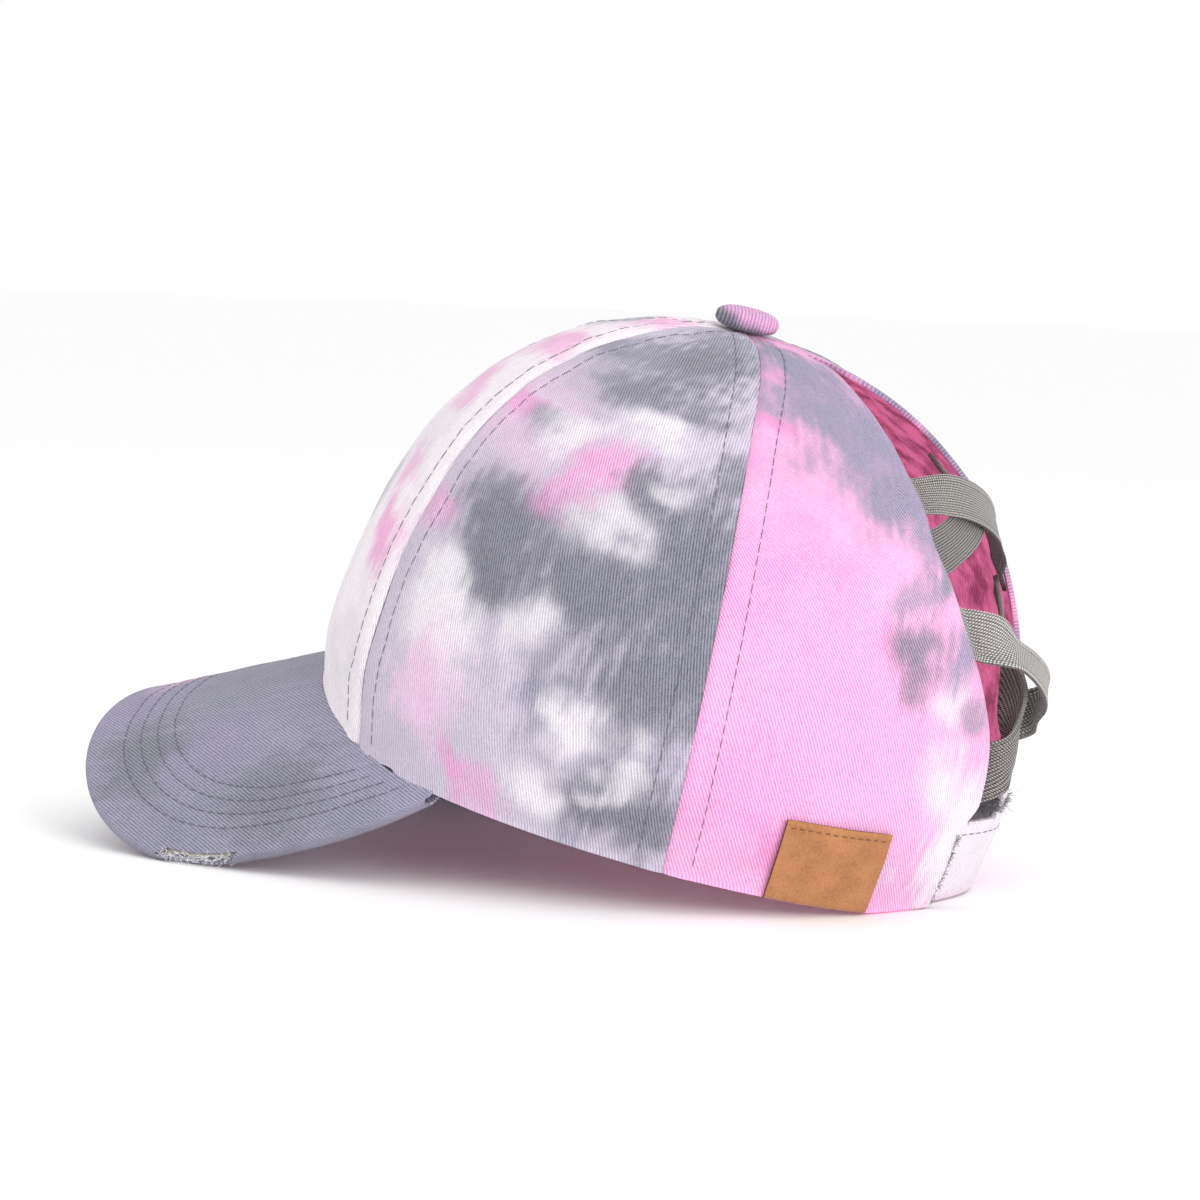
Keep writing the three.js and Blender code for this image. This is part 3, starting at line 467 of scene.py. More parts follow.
def elastic(name, low, high):
    """Woven elastic: rubber cords along its length under a tight cross weave, so fine ribs both ways."""
    m, tree, shader = begin(name, 0.85, Sheen_Weight=0.2)
    uv = add(tree, "UVMap", {"uv_map": "UVMap"})
    cords = add(tree, "TexWave", {"bands_direction": "Y"}, Vector=uv.outputs[0], Scale=band_scale(0.72),
                Distortion=0.5, Detail=1.0)
    weave = add(tree, "TexWave", {"bands_direction": "X"}, Vector=uv.outputs[0], Scale=band_scale(0.62),
                Distortion=0.9, Detail=2.0)
    cloud = add(tree, "TexNoise", Vector=uv.outputs[0], Scale=2.0, Detail=3.0)
    both = add(tree, "Math", {"operation": "MULTIPLY"}, i0=cords.outputs["Fac"], i1=weave.outputs["Fac"])
    lift = multiply_add(tree, cloud.outputs["Fac"], 0.6, both.outputs[0])
    colour = mix(tree, ramp(tree, lift, 0.25, 0.95), (*linear(low), 1), (*linear(high), 1))
    return finish_off(m, shader, colour, 0.7, 0.3, both.outputs[0])


def grainy(name, low, high, grain, roughness, depth, sheen=0.0):
    """Plain soft material with a cloudy colour and a fine grain: suede, board, tape or thread.
    The grain is the size in mm of its specks."""
    m, tree, shader = begin(name, roughness, Sheen_Weight=sheen)
    place = add(tree, "TexCoord").outputs["Object"]
    fine = add(tree, "TexNoise", Vector=place, Scale=1000 / grain, Detail=4.0, Roughness=0.7)
    wide = add(tree, "TexNoise", Vector=place, Scale=1000 / grain / 9, Detail=3.0)
    both = multiply_add(tree, wide.outputs["Fac"], 0.8, fine.outputs["Fac"])
    colour = mix(tree, ramp(tree, both, 0.55, 1.25), (*linear(low), 1), (*linear(high), 1))
    return finish_off(m, shader, colour, 0.6, depth, fine.outputs["Fac"])


RECIPES = {
    "panel twill": (twill, "Dyed cotton twill, upright ribs", -13, 0.70),
    "rear twill": (twill, "Dyed cotton twill, slanting ribs", -30, 0.75),
    "peak twill": (twill, "Dyed cotton twill, peak", -40, 0.85),
    "button twill": (twill, "Dyed cotton twill, button", 4, 1.0),
    # painted light: the inside of this cloth glows as if daylight came through it
    "inner twill": (twill, "Strong pink inside of the twill", -20, 0.75, "f5569f", 0.65),
    "elastic": (elastic, "Grey woven elastic", "2f2d2c", "bab5b0"),
    # lit and shaded copies of the grey elastic: the paler one is painted light, the darker one is painted
    # shade
    "elastic with painted light": (elastic, "Pale grey woven elastic", "4a4745", "cfcbc7"),
    "elastic with painted shade": (elastic, "Dark grey woven elastic", "252322", "a8a39f"),
    "suede": (grainy, "Tan suede", "8a5734", "b8804f", 0.7, 0.95, 0.25, 0.3),
    "burnt edge": (grainy, "Dark cut edge of suede", "3c2416", "5f3a22", 0.6, 0.9, 0.15),
    "board": (grainy, "Bare stiffening board", "a89f92", "d8d0c2", 1.2, 0.9, 0.2),
    "tape": (grainy, "Fuzzy dark loop tape", "2b2a2c", "67656a", 0.8, 1.0, 0.5, 0.4),
    "sweatband": (grainy, "Brushed grey band cloth", "77757c", "a09da4", 0.9, 1.0, 0.3, 0.3),
    "thread": (grainy, "Dark grey sewing thread", "4e4d57", "75747f", 0.5, 0.8, 0.05),
    "fray": (grainy, "Frayed white cotton", "d9d6dc", "fbfafc", 0.6, 1.0, 0.05),
    "brown thread": (grainy, "Brown sewing thread", "5d3a22", "84573a", 0.5, 0.8, 0.05),
}
FINISHES = {}


def finish(name):
    """The material of that name, made when it is first asked for."""
    if name not in FINISHES:
        make, *given = RECIPES[name]
        FINISHES[name] = make(*given)
    return FINISHES[name]


# Making pieces
def alone():
    """Clears the selection."""
    for o in bpy.context.selected_objects:
        o.select_set(False)


def wear(o, *names):
    """Gives a piece its materials."""
    o.data.materials.clear()
    for name in names:
        o.data.materials.append(finish(name))


def settle(o, node=None):
    """Hands a finished piece to the frame: it rides on the cap and stands for its node."""
    bpy.context.view_layer.objects.active = o
    alone()
    o.select_set(True)
    bpy.ops.object.transform_apply(location=True, rotation=True, scale=True)
    bpy.ops.object.shade_smooth_by_angle(angle=math.radians(50))
    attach(o, "root")
    if node:
        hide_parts(node)
    o.select_set(False)


def modify(o, kind, **settings):
    """Adds a modifier and applies it."""
    m = o.modifiers.new(kind.title(), kind)
    for key, value in settings.items():
        setattr(m, key, value)
    bpy.context.view_layer.objects.active = o
    bpy.ops.object.modifier_apply(modifier=m.name)


def write(rows, key, values):
    """Writes one value, or a few, for each row of a mesh."""
    rows.foreach_set(key, np.asarray(values, np.float32).ravel())


def read(mesh):
    """The mesh's points, as rows of three."""
    flat = np.empty(len(mesh.vertices) * 3)
    mesh.vertices.foreach_get("co", flat)
    return flat.reshape(-1, 3)


def corners(mesh):
    """The point of each face corner."""
    corner = np.empty(len(mesh.loops), int)
    mesh.loops.foreach_get("vertex_index", corner)
    return corner


def sheet(name, across, along, place, wall, uv, colour=None, drop=None, rim=0.35, cloths=(), back=0,
          edge=0):
    """A sheet of cloth: a grid laid in place by a function of two shares, trimmed, and thickened.
    back and edge are steps in the list of cloths for its inner face and its cut edges."""
    alone()
    bpy.ops.mesh.primitive_grid_add(x_subdivisions=across, y_subdivisions=along, size=1)
    o = bpy.context.object
    o.name = o.data.name = name
    mesh = o.data
    flat = read(mesh)
    s, t = np.round(flat[:, 0] + 0.5, 6), np.round(flat[:, 1] + 0.5, 6)
    write(mesh.vertices, "co", place(s, t) * 0.001)
    corner = corners(mesh)
    mesh.uv_layers[0].name = "UVMap"
    write(mesh.uv_layers[0].data, "uv", np.stack(uv(s, t), -1)[corner])
    if colour is not None:
        write(mesh.attributes.new("dye", "FLOAT_COLOR", "POINT").data, "color", colour(s, t))
    if drop is not None:
        bpy.ops.object.mode_set(mode="EDIT")
        bpy.ops.mesh.select_mode(type="FACE")
        bpy.ops.mesh.select_all(action="DESELECT")
        bpy.ops.object.mode_set(mode="OBJECT")
        quads = corner.reshape(-1, 4)
        gone = drop(s[quads].mean(1), t[quads].mean(1))
        mesh.polygons.foreach_set("select", gone)
        bpy.ops.object.mode_set(mode="EDIT")
        bpy.ops.mesh.delete(type="FACE")
        bpy.ops.object.mode_set(mode="OBJECT")
    mesh.update()
    wear(o, *cloths)
    modify(o, "SOLIDIFY", thickness=wall * 0.001, offset=-1.0, use_even_offset=True, use_quality_normals=True,
           material_offset=back, material_offset_rim=edge)
    modify(o, "BEVEL", width=rim * 0.001, segments=2, limit_method="ANGLE", angle_limit=math.radians(55))
    # the wall's thickness doesn't reach below the table
    points = read(o.data)
    points[:, 2] = np.maximum(points[:, 2], 0)
    write(o.data.vertices, "co", points)
    o.data.update()
    return o


def copies(name, spots, directions, normals, length, radius, finish_name, sides=5):
    """One mesh of many short threads, each a copy of one long pill laid along its direction."""
    alone()
    bpy.ops.mesh.primitive_uv_sphere_add(segments=sides, ring_count=4, radius=1)
    o = bpy.context.object
    base = np.array([v.co[:] for v in o.data.vertices])
    faces = [list(p.vertices) for p in o.data.polygons]
    spots = np.asarray(spots, float)
    a, n = unit(np.asarray(directions, float)), unit(np.asarray(normals, float))
    b = unit(np.cross(n, a))
    n = np.cross(a, b)
    long = np.broadcast_to(np.asarray(length, float) / 2, (len(spots),))
    points = (spots[:, None] + base[None, :, 2:3] * long[:, None, None] * a[:, None]
              + base[None, :, 0:1] * radius * b[:, None] + base[None, :, 1:2] * radius * n[:, None])
    mesh = bpy.data.meshes.new(name)
    count = len(base)
    all_faces = [[i + k * count for i in f] for k in range(len(spots)) for f in faces]
    mesh.from_pydata((points.reshape(-1, 3) * 0.001).tolist(), [], all_faces)
    old, o.data = o.data, mesh
    bpy.data.meshes.remove(old)
    o.name = name
    o.location = (0, 0, 0)
    wear(o, finish_name)
    return o


def stitches(path, normals, pitch, length):
    """Places and directions of the stitches along a row of points."""
    steps = np.linalg.norm(np.diff(path, axis=0), axis=1)
    run = np.concatenate([[0], np.cumsum(steps)])
    count = max(2, int(run[-1] / pitch))
    middle = (np.arange(count) + 0.5) * run[-1] / count

    def pick(at, values):
        return np.stack([np.interp(at, run, values[:, k]) for k in range(3)], -1)
    ways = pick(middle + length / 2, path) - pick(middle - length / 2, path)
    return pick(middle, path), ways, pick(middle, normals)


def turned_back(normals):
    """Directions in the crown frame, leaned back with the cap."""
    c, s = math.cos(LEAN), math.sin(LEAN)
    x, y, z = normals[..., 0], normals[..., 1], normals[..., 2]
    return np.stack([x, y * c + z * s, z * c - y * s], -1)


def lie_on(names, spots, ways, normals, proud):
    """Lays threads on the made pieces: each is moved along its normal until it lies on the cloth."""
    trees = []
    for name in names:
        mesh = bpy.data.objects[name].data
        points, faces = [v.co[:] for v in mesh.vertices], [p.vertices[:] for p in mesh.polygons]
        trees.append(BVHTree.FromPolygons(points, faces))
    kept = []
    for spot, way, normal in zip(spots, ways, normals):
        aim = Vector(normal).normalized()
        start = Vector(spot) * 0.001 + aim * 0.003
        hits = [tree.ray_cast(start, -aim, 0.006) for tree in trees]
        hits = [h for h in hits if h[0] is not None]
        if hits:
            place, face = min(hits, key=lambda h: h[3])[:2]
            flat = Vector(way) - face * Vector(way).dot(face)
            kept.append((np.array(place) * 1000 + np.array(face) * proud, np.array(flat), np.array(face)))
    return [np.array(v) for v in zip(*kept)]


def fibres(name, spots, normals, count, length, radius, spread, finish_name, seed):
    """A tuft of loose fibres: many thin threads that stand at random round the given places, in mm."""
    rng = np.random.default_rng(seed)
    pick = rng.integers(0, len(spots), count)
    at = np.asarray(spots, float)[pick] + rng.normal(0, spread, (count, 3))
    ways = unit(np.asarray(normals, float)[pick] * 0.5 + rng.normal(0, 0.7, (count, 3)))
    long = length * rng.uniform(0.4, 1.4, count)
    at = at + ways * long[:, None] * 0.35
    at[:, 2] = np.maximum(at[:, 2], 0.5)
    o = copies(name, at, ways, rng.normal(0, 1, (count, 3)), long, radius, finish_name, 4)
    settle(o)


# Settings and stage
# Azimuth, elevation and roll in degrees, lens in mm, target in mm before the cap is centred
CAMERA = (116.005, 4.995, 1.87, 105.242, -15.923, 74.487)
# Name, azimuth, elevation, distance, width, power
LAMPS = (("left", 40, 28, 1.5, 1.1, 2), ("right", 146, 14, 1.3, 0.6, 9), ("top", 116, 80, 1.6, 1.4, 1.5))


def seen_from(azimuth, elevation, far, target):
    """The place in metres that lies that far from a target, in a direction in degrees."""
    a, e = math.radians(azimuth), math.radians(elevation)
    return (target[0] + far * math.sin(a) * math.cos(e), target[1] - far * math.cos(a) * math.cos(e),
            target[2] + far * math.sin(e))


def look(spot, target):
    """Rotation that looks from a place to a target."""
    return (Vector(target) - Vector(spot)).to_track_quat("-Z", "Y").to_euler()


class CapSizes(bpy.types.PropertyGroup):
    stitch: FloatProperty(
        name="Stitch length", description="Length of one topstitch, mm", default=3.3, min=1, max=8)
    thread: FloatProperty(
        name="Thread radius", description="Radius of the sewing thread, mm", default=0.15, min=0.05, max=1)
    seam_row: FloatProperty(
        name="Seam row", description="Distance of the row from the seam, mm", default=6.3, min=2, max=12)
    peak_rows: IntProperty(
        name="Peak rows", description="Rows of stitching round the peak", default=4, min=0, max=4)
    floor: FloatVectorProperty(
        name="Floor colour", description="Colour of the table", subtype="COLOR", default=(0.97, 0.97, 0.97))
    light: FloatProperty(
        name="Light", description="Strength of the studio light", default=1.0, min=0, max=5)


class CAP_OT_stage(bpy.types.Operator):
    """Makes the camera, the pale floor and the soft studio light"""
    bl_idname = "cap.stage"
    bl_label = "Stage"

    def execute(self, context):
        sizes = context.scene.cap_sizes
        alone()
        bpy.ops.mesh.primitive_plane_add(size=60, location=(0, 0, -0.0004))
        floor = context.object
        floor.name = "floor"
        m, tree, shader = begin("Pale matt table", 0.9)
        shader.inputs["Base Color"].default_value = (*sizes.floor, 1)
        floor.data.materials.append(m)
        world = context.scene.world or bpy.data.worlds.new("studio")
        context.scene.world = world
        world.use_nodes = True
        back = world.node_tree.nodes.get("Background")
        back.inputs[0].default_value = (1, 1, 1, 1)
        back.inputs[1].default_value = sizes.light
        for name, az, el, far, width, power in LAMPS:
            spot = seen_from(az, el, far, (0, 0, 0.06))
            bpy.ops.object.light_add(type="AREA", location=spot)
            lamp = context.object
            lamp.name = lamp.data.name = f"softbox_{name}"
            lamp.data.size = width
            lamp.data.energy = power * sizes.light
            lamp.rotation_euler = look(spot, (0, 0, 0.06))
        az, el, roll, lens, target_y, target_z = CAMERA
        target = (-MIDDLE_X * 0.001, (target_y - MIDDLE_Y) * 0.001, target_z * 0.001)
        spot = seen_from(az, el, 1.0, target)
        bpy.ops.object.camera_add(location=spot)
        camera = context.object
        turn = look(spot, target).to_matrix().to_4x4()
        camera.matrix_world = Matrix.Translation(spot) @ turn @ Matrix.Rotation(math.radians(roll), 4, "Z")
        camera.data.sensor_width = 36
        camera.data.lens = lens
        camera.data.clip_start = 0.05
        context.scene.camera = camera
        context.scene.view_settings.view_transform = "Standard"
        return {"FINISHED"}


# Panels
def seam_dent(distance, along, seed):
    """Height of the cloth beside a seam: a groove, a padded allowance and a puckered stitch row."""
    d = np.abs(distance)
    pucker = 1 + 0.6 * ripple(along / 14, 0 * along, seed)
    return (-0.75 * np.exp(-(d / 0.9) ** 2) + 0.42 * (1 - smooth((d - 6.6) / 1.4))
            - 0.32 * pucker * np.exp(-((d - 6.3) / 0.75) ** 2)
            + 0.16 * ripple(along / 9, 0 * along + 3, seed + 5) * np.exp(-((d - 9) / 5) ** 2))


def radius_at(up):
    """Mean reach of the crown from its axis, which turns degrees into lengths."""
    return HALF_WIDTH * (0.05 + curve(SECTIONS, 3, np.clip(up, 0, 1)))


def drop_share(turn):
    """How fully the hem runs down behind the peak: 1 in front, 0 at the ears."""
    return smooth((EAR_TURN - EAR_BLEND - np.abs(wrapped(turn)) * 180 / math.pi) / EAR_BLEND)


def panel(name, low, high, cloths, base, blots, side, seed, high_edge=None):
    """One crown panel between two turns in degrees; an edge function may replace the second."""

    def place_of(s, t):
        # the first share of the rows runs down behind the peak
        up = np.maximum(0, (t - FALL_ROWS) / (1 - FALL_ROWS)) * EYE
        gap = SEAM_GAP / np.maximum(2, radius_at(up))
        a = math.radians(low) + gap
        b = high_edge(up) if high_edge else math.radians(high) - gap
        return a + (b - a) * s, up, a, b

    def place(s, t):
        turn, up, a, b = place_of(s, t)
        r = radius_at(up)
        along_mm = up * MERIDIAN
        from_low, from_high = (turn - a) * r, (b - turn) * r
        fade = smooth((1 - up) / 0.08)
        dent = (seam_dent(from_low, along_mm, seed) + seam_dent(from_high, along_mm, seed + 1)) * fade
        if high_edge:
            # the slit's edge is a plain turned hem, without the seam's groove
            dent = dent + 0.75 * np.exp(-(from_high / 0.9) ** 2) * fade
        dent = dent + 0.22 * ripple(turn * 60 / 30, along_mm / 34, seed + 9) * smooth(up / 0.1)
        p, n = crown_off(turn, up, dent)
        fall = np.maximum(0, (FALL_ROWS - t) / FALL_ROWS)
        p[..., 2] -= fall * FALL_DEPTH * drop_share(turn)
        return to_row(p)

    def uv(s, t):
        turn, up = place_of(s, t)[:2]
        middle = math.radians((low + high) / 2)
        return (turn - middle) * radius_at(up), up * MERIDIAN

    def colour(s, t):
        turn, up = place_of(s, t)[:2]
        return crown_dye(base, blots, turn, up, seed, side)

    return sheet(name, 84, 150, place, PANEL_WALL, uv, colour, cloths=cloths, back=len(cloths) - 1)


REAR_BASE, REAR_CLOTHS = "f6a3d6", ("rear twill", "inner twill")


class CAP_OT_panels(bpy.types.Operator):
    """Makes the six dyed panels of the crown"""
    bl_idname = "cap.panels"
    bl_label = "Crown panels"

    def execute(self, context):
        jobs = (
            ("front_left_panel", "front_cloth", 0, SEAM_FRONT, "fbf3f6", FRONT_DYE, 1, 11),
            ("front_right_panel", "front_cloth", -SEAM_FRONT, 0, "fbf3f6", FRONT_DYE, -1, 23),
            ("side_left_panel", "side_cloth", SEAM_FRONT, SEAM_REAR, "c4b9cb", SIDE_DYE, 1, 37),
            ("side_right_panel", "side_cloth", -SEAM_REAR, -SEAM_FRONT, "c4b9cb", SIDE_DYE, -1, 41))
        for node, slot, low, high, base, blots, side, seed in jobs:
            o = panel("cloth_" + node, low, high, ("panel twill",), base, blots, side, seed)
            settle(o, node)
        left = panel("cloth_rear_left_panel", SEAM_REAR, 180, REAR_CLOTHS, REAR_BASE, REAR_DYE, 1, 53,
                     high_edge=lambda up: back_turn(left_edge(up), up))
        settle(left, "rear_left_panel")
        settle(rear_right(), "rear_right_panel")
        return {"FINISHED"}


def rear_right():
    """The right rear panel with the closure's tab, which slopes in under the left panel's end."""
    panel_columns, tab_columns, tab_rows, rows = 50, 26, 16, 124
    total = panel_columns + tab_columns

    def spread(s, t):
        i, j = s * total, t * rows
        above = TAB_TOP + (EYE - TAB_TOP) * (j - tab_rows) / (rows - tab_rows)
        up = np.where(j <= tab_rows, TAB_TOP * j / tab_rows, above)
        gap = slit_open(up)
        seam = 2 * math.pi - math.radians(SEAM_REAR) - SEAM_GAP / np.maximum(2, radius_at(up))
        edge = back_turn(-gap, up)
        # columns run from the tab's end to the seam, so that the faces look outwards
        k = total - i
        on_panel = k <= panel_columns
        turn = seam + (edge - seam) * np.minimum(k, panel_columns) / panel_columns
        x = -gap + (TAB_REACH + gap) * np.maximum(0, k - panel_columns) / tab_columns
        turn = np.where(on_panel, turn, back_turn(x, up))
        return turn, up, seam, on_panel

    def place(s, t):
        turn, up, seam, on_panel = spread(s, t)
        x = crown(turn, up)[..., 0]
        r, along_mm = radius_at(up), up * MERIDIAN
        dent = seam_dent((seam - turn) * r, along_mm, 61) * smooth((1 - up) / 0.08)
        dent = dent + 0.22 * ripple(turn * 2, along_mm / 34, 67) * smooth(up / 0.1)
        p, n = crown_off(turn, up, dent * on_panel + tuck(x, up))
        return to_row(p)

    def uv(s, t):
        turn, up = spread(s, t)[:2]
        return (turn - math.radians(213)) * radius_at(up), up * MERIDIAN

    def colour(s, t):
        turn, up = spread(s, t)[:2]
        return crown_dye(REAR_BASE, REAR_DYE, np.where(turn < math.pi, 2 * math.pi - turn, turn), up, 71, -1)

    def beside_tab(s, t):
        return (s * total < tab_columns) & (t * rows > tab_rows)

    return sheet("cloth_rear_right_panel", total, rows, place, PANEL_WALL, uv, colour, beside_tab,
                 cloths=REAR_CLOTHS, back=1)


# Peak
def outline():
    """The peak's outer edge in flat lengths, from the ear to the front centre, with its run."""
    start = np.array([PEAK_RADIUS * EAR[0], EAR[1]])
    s = (np.arange(24) / 24)[:, None]
    arc = np.concatenate([(1 - s) ** 2 * start[0] + 2 * s * (1 - s) * PEAK_HALF + s * s * PEAK_HALF,
                          (1 - s) ** 2 * start[1] + 2 * s * (1 - s) * start[1] * 0.6], 1)
    a = np.linspace(0, math.pi / 2, 61)
    power = 2 / PEAK_POWER
    front = np.stack([PEAK_HALF * np.maximum(np.cos(a), 0) ** power, PEAK_LENGTH * np.sin(a) ** power], 1)
    front[-1, 0] = 0
    both = np.concatenate([arc, front])
    run = np.concatenate([[0], np.cumsum(np.linalg.norm(np.diff(both, axis=0), axis=1))])
    return both, run


OUTLINE, OUTLINE_RUN = outline()


def peak_spot(share, way, inset, depth):
    """Flat place on the peak: way runs from 0 at the crown to 1 at the inset from the edge."""
    given = [np.asarray(v, float) for v in (share, way, inset, depth)]
    share, way, inset, depth = np.broadcast_arrays(*given)
    want = OUTLINE_RUN[-1] + (CORNER_TRIM - OUTLINE_RUN[-1]) * np.abs(share)
    edge_x, edge_y = [np.interp(want, OUTLINE_RUN, OUTLINE[:, k]) for k in (0, 1)]
    edge = np.stack([np.sign(share) * edge_x, edge_y], -1)
    turn = np.radians(share * (EAR_TURN - 1.5))
    under = depth * smooth((EAR_TURN - EAR_BLEND / 2 - np.abs(turn) * 180 / math.pi) / (EAR_BLEND / 2))
    foot, n = crown_off(turn, 0 * turn, 0)
    x, y = foot[..., 0] + n[..., 0] * 0.15, foot[..., 1] + n[..., 1] * 0.15
    bend = np.arcsin(np.clip(x / (PEAK_RADIUS - under), -1, 1))
    up = -PEAK_RADIUS + (PEAK_RADIUS - under) * np.cos(bend)
    ahead = -(y + FRONT_LENGTH + up * math.sin(PEAK_SLOPE)) / math.cos(PEAK_SLOPE)
    root = np.stack([PEAK_RADIUS * bend, ahead], -1)
    reach = np.linalg.norm(edge - root, axis=-1)
    s = way * np.maximum(0.15, 1 - inset / reach)
    return root + (edge - root) * s[..., None], reach * (1 - s)


PEAK_ROWS = (13.5, 19.0, 24.5, 30.0)


class CAP_OT_peak(bpy.types.Operator):
    """Makes the peak's cloth sleeve with its tear, and gives the board inside its finish"""
    bl_idname = "cap.peak"
    bl_label = "Peak"

    def execute(self, context):
        half = PEAK_THICK / 2
        along, top, nose, under = 250, 64, 10, 34
        path = top + nose + under

        def spread(s, t):
            k = (1 - t) * path
            share = s * 2 - 1
            angle = math.pi * np.clip((k - top) / nose, 0, 1)
            way = np.where(k <= top, k / top, np.where(k >= top + nose, (path - k) / under, 1))
            inset = half - half * np.sin(angle)
            depth = half - half * np.cos(angle)
            return share, way, inset, depth

        def place(s, t):
            share, way, inset, depth = spread(s, t)
            spot, edge = peak_spot(share, way, inset, depth)
            # a groove under every row of stitching
            dent = 0
            for row in PEAK_ROWS:
                dent = dent + 0.30 * np.exp(-((edge - row) / 0.9) ** 2)
            swell = -0.22 * ripple(spot[..., 0] / 26, spot[..., 1] / 26, 81)
            sign = np.where(depth > half, -1, 1)
            pressed = depth + sign * (dent + swell * smooth(edge / 10))
            return to_row(peak_point(spot[..., 0] / PEAK_RADIUS, spot[..., 1], pressed))

        def uv(s, t):
            given = spread(s, t)
            spot = peak_spot(*given)[0]
            return spot[..., 0], spot[..., 1] + given[3] * 3

        def colour(s, t):
            spot = peak_spot(*spread(s, t))[0]
            return dye("837e9a", PEAK_DYE, spot[..., 0], spot[..., 1], 83)

        def torn(s, t):
            share, way, inset, depth = spread(s, t)
            ragged = 0.014 * ripple(share * 30, depth, 87)
            inside = (share > 0.565 + ragged) & (share < 0.682 - ragged)
            rim = (inset < 1.2) & (depth < half * 1.5) & (way > 0.9)
            return inside & (rim | (way > 0.975) & (depth < half))

        o = sheet("cloth_peak_cover", along, path, place, COVER_WALL * 0.9, uv, colour, torn, 0.2,
                  ("peak twill",))
        settle(o, "peak_cover")
        wear(frame["nodes"]["peak_board"], "board")
        return {"FINISHED"}


# Straps, tapes, sweatband
def blend(a, b, s):
    """The value at a share of the way from one to another."""
    return a + (b - a) * s


def strap_spot(row, s):
    """Place of the middle of a strap at a share of its run: x off the centre line, share up."""
    left, right, arch = row[2:5]
    x_left = float(slit_open(np.array(left))) + STRAP_TUCK
    x_right = -float(slit_open(np.array(right))) - STRAP_TUCK
    return blend(x_left, x_right, s), blend(left, right, s) + 4 * arch * s * (1 - s)


def strap_past(row, x, up):
    """How far a place on the strap has passed the slit's edge, with a rounded turn at the centre."""
    return slit_open(up) - np.hypot(x - row[6] * STRAP_WIDTH, STRAP_ROUNDING)


def strap_lift(row, x, up):
    """How far the strap lies outside the panels' outer face; minus is under them."""
    clear = np.clip((strap_past(row, x, up) - STRAP_CLEAR) / slit_open(up), 0, 1)
    low = CLOTH_WALL + LAYER_GAP + row[10] * (STRAP_WALL + LAYER_GAP)
    return (row[5] * STRAP_WIDTH + low) * (1 - (1 - clear) ** row[7]) - low


def strap_place(row, s, side, out):
    """A point of the strap: laid on the dome at its sewn ends, straight across and twisted between."""
    e = 0.01
    x, up = strap_spot(row, s)
    next_x, next_up = strap_spot(row, s + e)
    turn = back_turn(x, up)
    speed = np.linalg.norm(crown(turn, up + e) - crown(turn, up - e), axis=-1) / (2 * e)
    run = unit(np.stack([next_x - x, (next_up - up) * speed], -1))
    laid_x, laid_up = x + run[..., 1] * side, up - run[..., 0] * side / speed
    laid, _ = crown_off(back_turn(laid_x, laid_up), laid_up, strap_lift(row, laid_x, laid_up) + out)

    def centre(share):
        at_x, at_up = strap_spot(row, share)
        return crown_off(back_turn(at_x, at_up), at_up, strap_lift(row, at_x, at_up))
    middle, normal = centre(s)
    way = unit(centre(s + e)[0] - centre(s - e)[0])
    across = unit(np.cross(normal, way))
    face = np.cross(way, across)
    free = smooth((strap_past(row, x, up) - STRAP_CLEAR) / STRAP_LOOSE)
    twist = np.radians(blend(row[8], row[9], smooth(s)) * free)[..., None]
    leaned = across * np.cos(twist) + face * np.sin(twist)
    faced = face * np.cos(twist) + np.cross(way, face) * np.sin(twist)
    loose = middle + leaned * side[..., None] + faced * out[..., None]
    return laid + (loose - laid) * free[..., None]


class CAP_OT_straps(bpy.types.Operator):
    """Makes the four elastic straps over the slit"""
    bl_idname = "cap.straps"
    bl_label = "Elastic straps"

    def execute(self, context):
        for row in STRAPS:
            def place(s, t, row=row):
                side = (t - 0.5) * STRAP_WIDTH
                # two corded ribs along each edge
                cord = sum(0.24 * np.exp(-((np.abs(side) - at) / 0.36) ** 2) for at in (5.5, 4.5))
                return to_row(strap_place(row, s, side, cord - 0.14))
            x_left, x_right = strap_spot(row, 0.0)[0], strap_spot(row, 1.0)[0]
            length = 1.25 * math.hypot(x_right - x_left, (row[3] - row[2]) * MERIDIAN)
            o = sheet("elastic_" + row[0], 120, 48, place, STRAP_WALL * 0.85,
                      lambda s, t, length=length: (s * length, t * STRAP_WIDTH), rim=0.2, cloths=(row[1],))
            settle(o, row[0])
        return {"FINISHED"}


def tape(name, node, x_from, x_to, low, high, across, along, depth):
    """A flat strip of tape that follows the crown at the back, given in mm off the centre and up the hem."""
    up_low, up_high = float(climb(math.pi, low)), float(climb(math.pi, high))

    def place(s, t):
        x = x_from + (x_to - x_from) * (1 - s)
        up = up_low + (up_high - up_low) * t
        return to_row(crown_off(back_turn(x, up), up, depth(x))[0])

    def uv(s, t):
        return (x_to - x_from) * s, (high - low) * t
    o = sheet(name, across, along, place, TAPE_WALL, uv, rim=0.25, cloths=("tape",))
    settle(o, node)


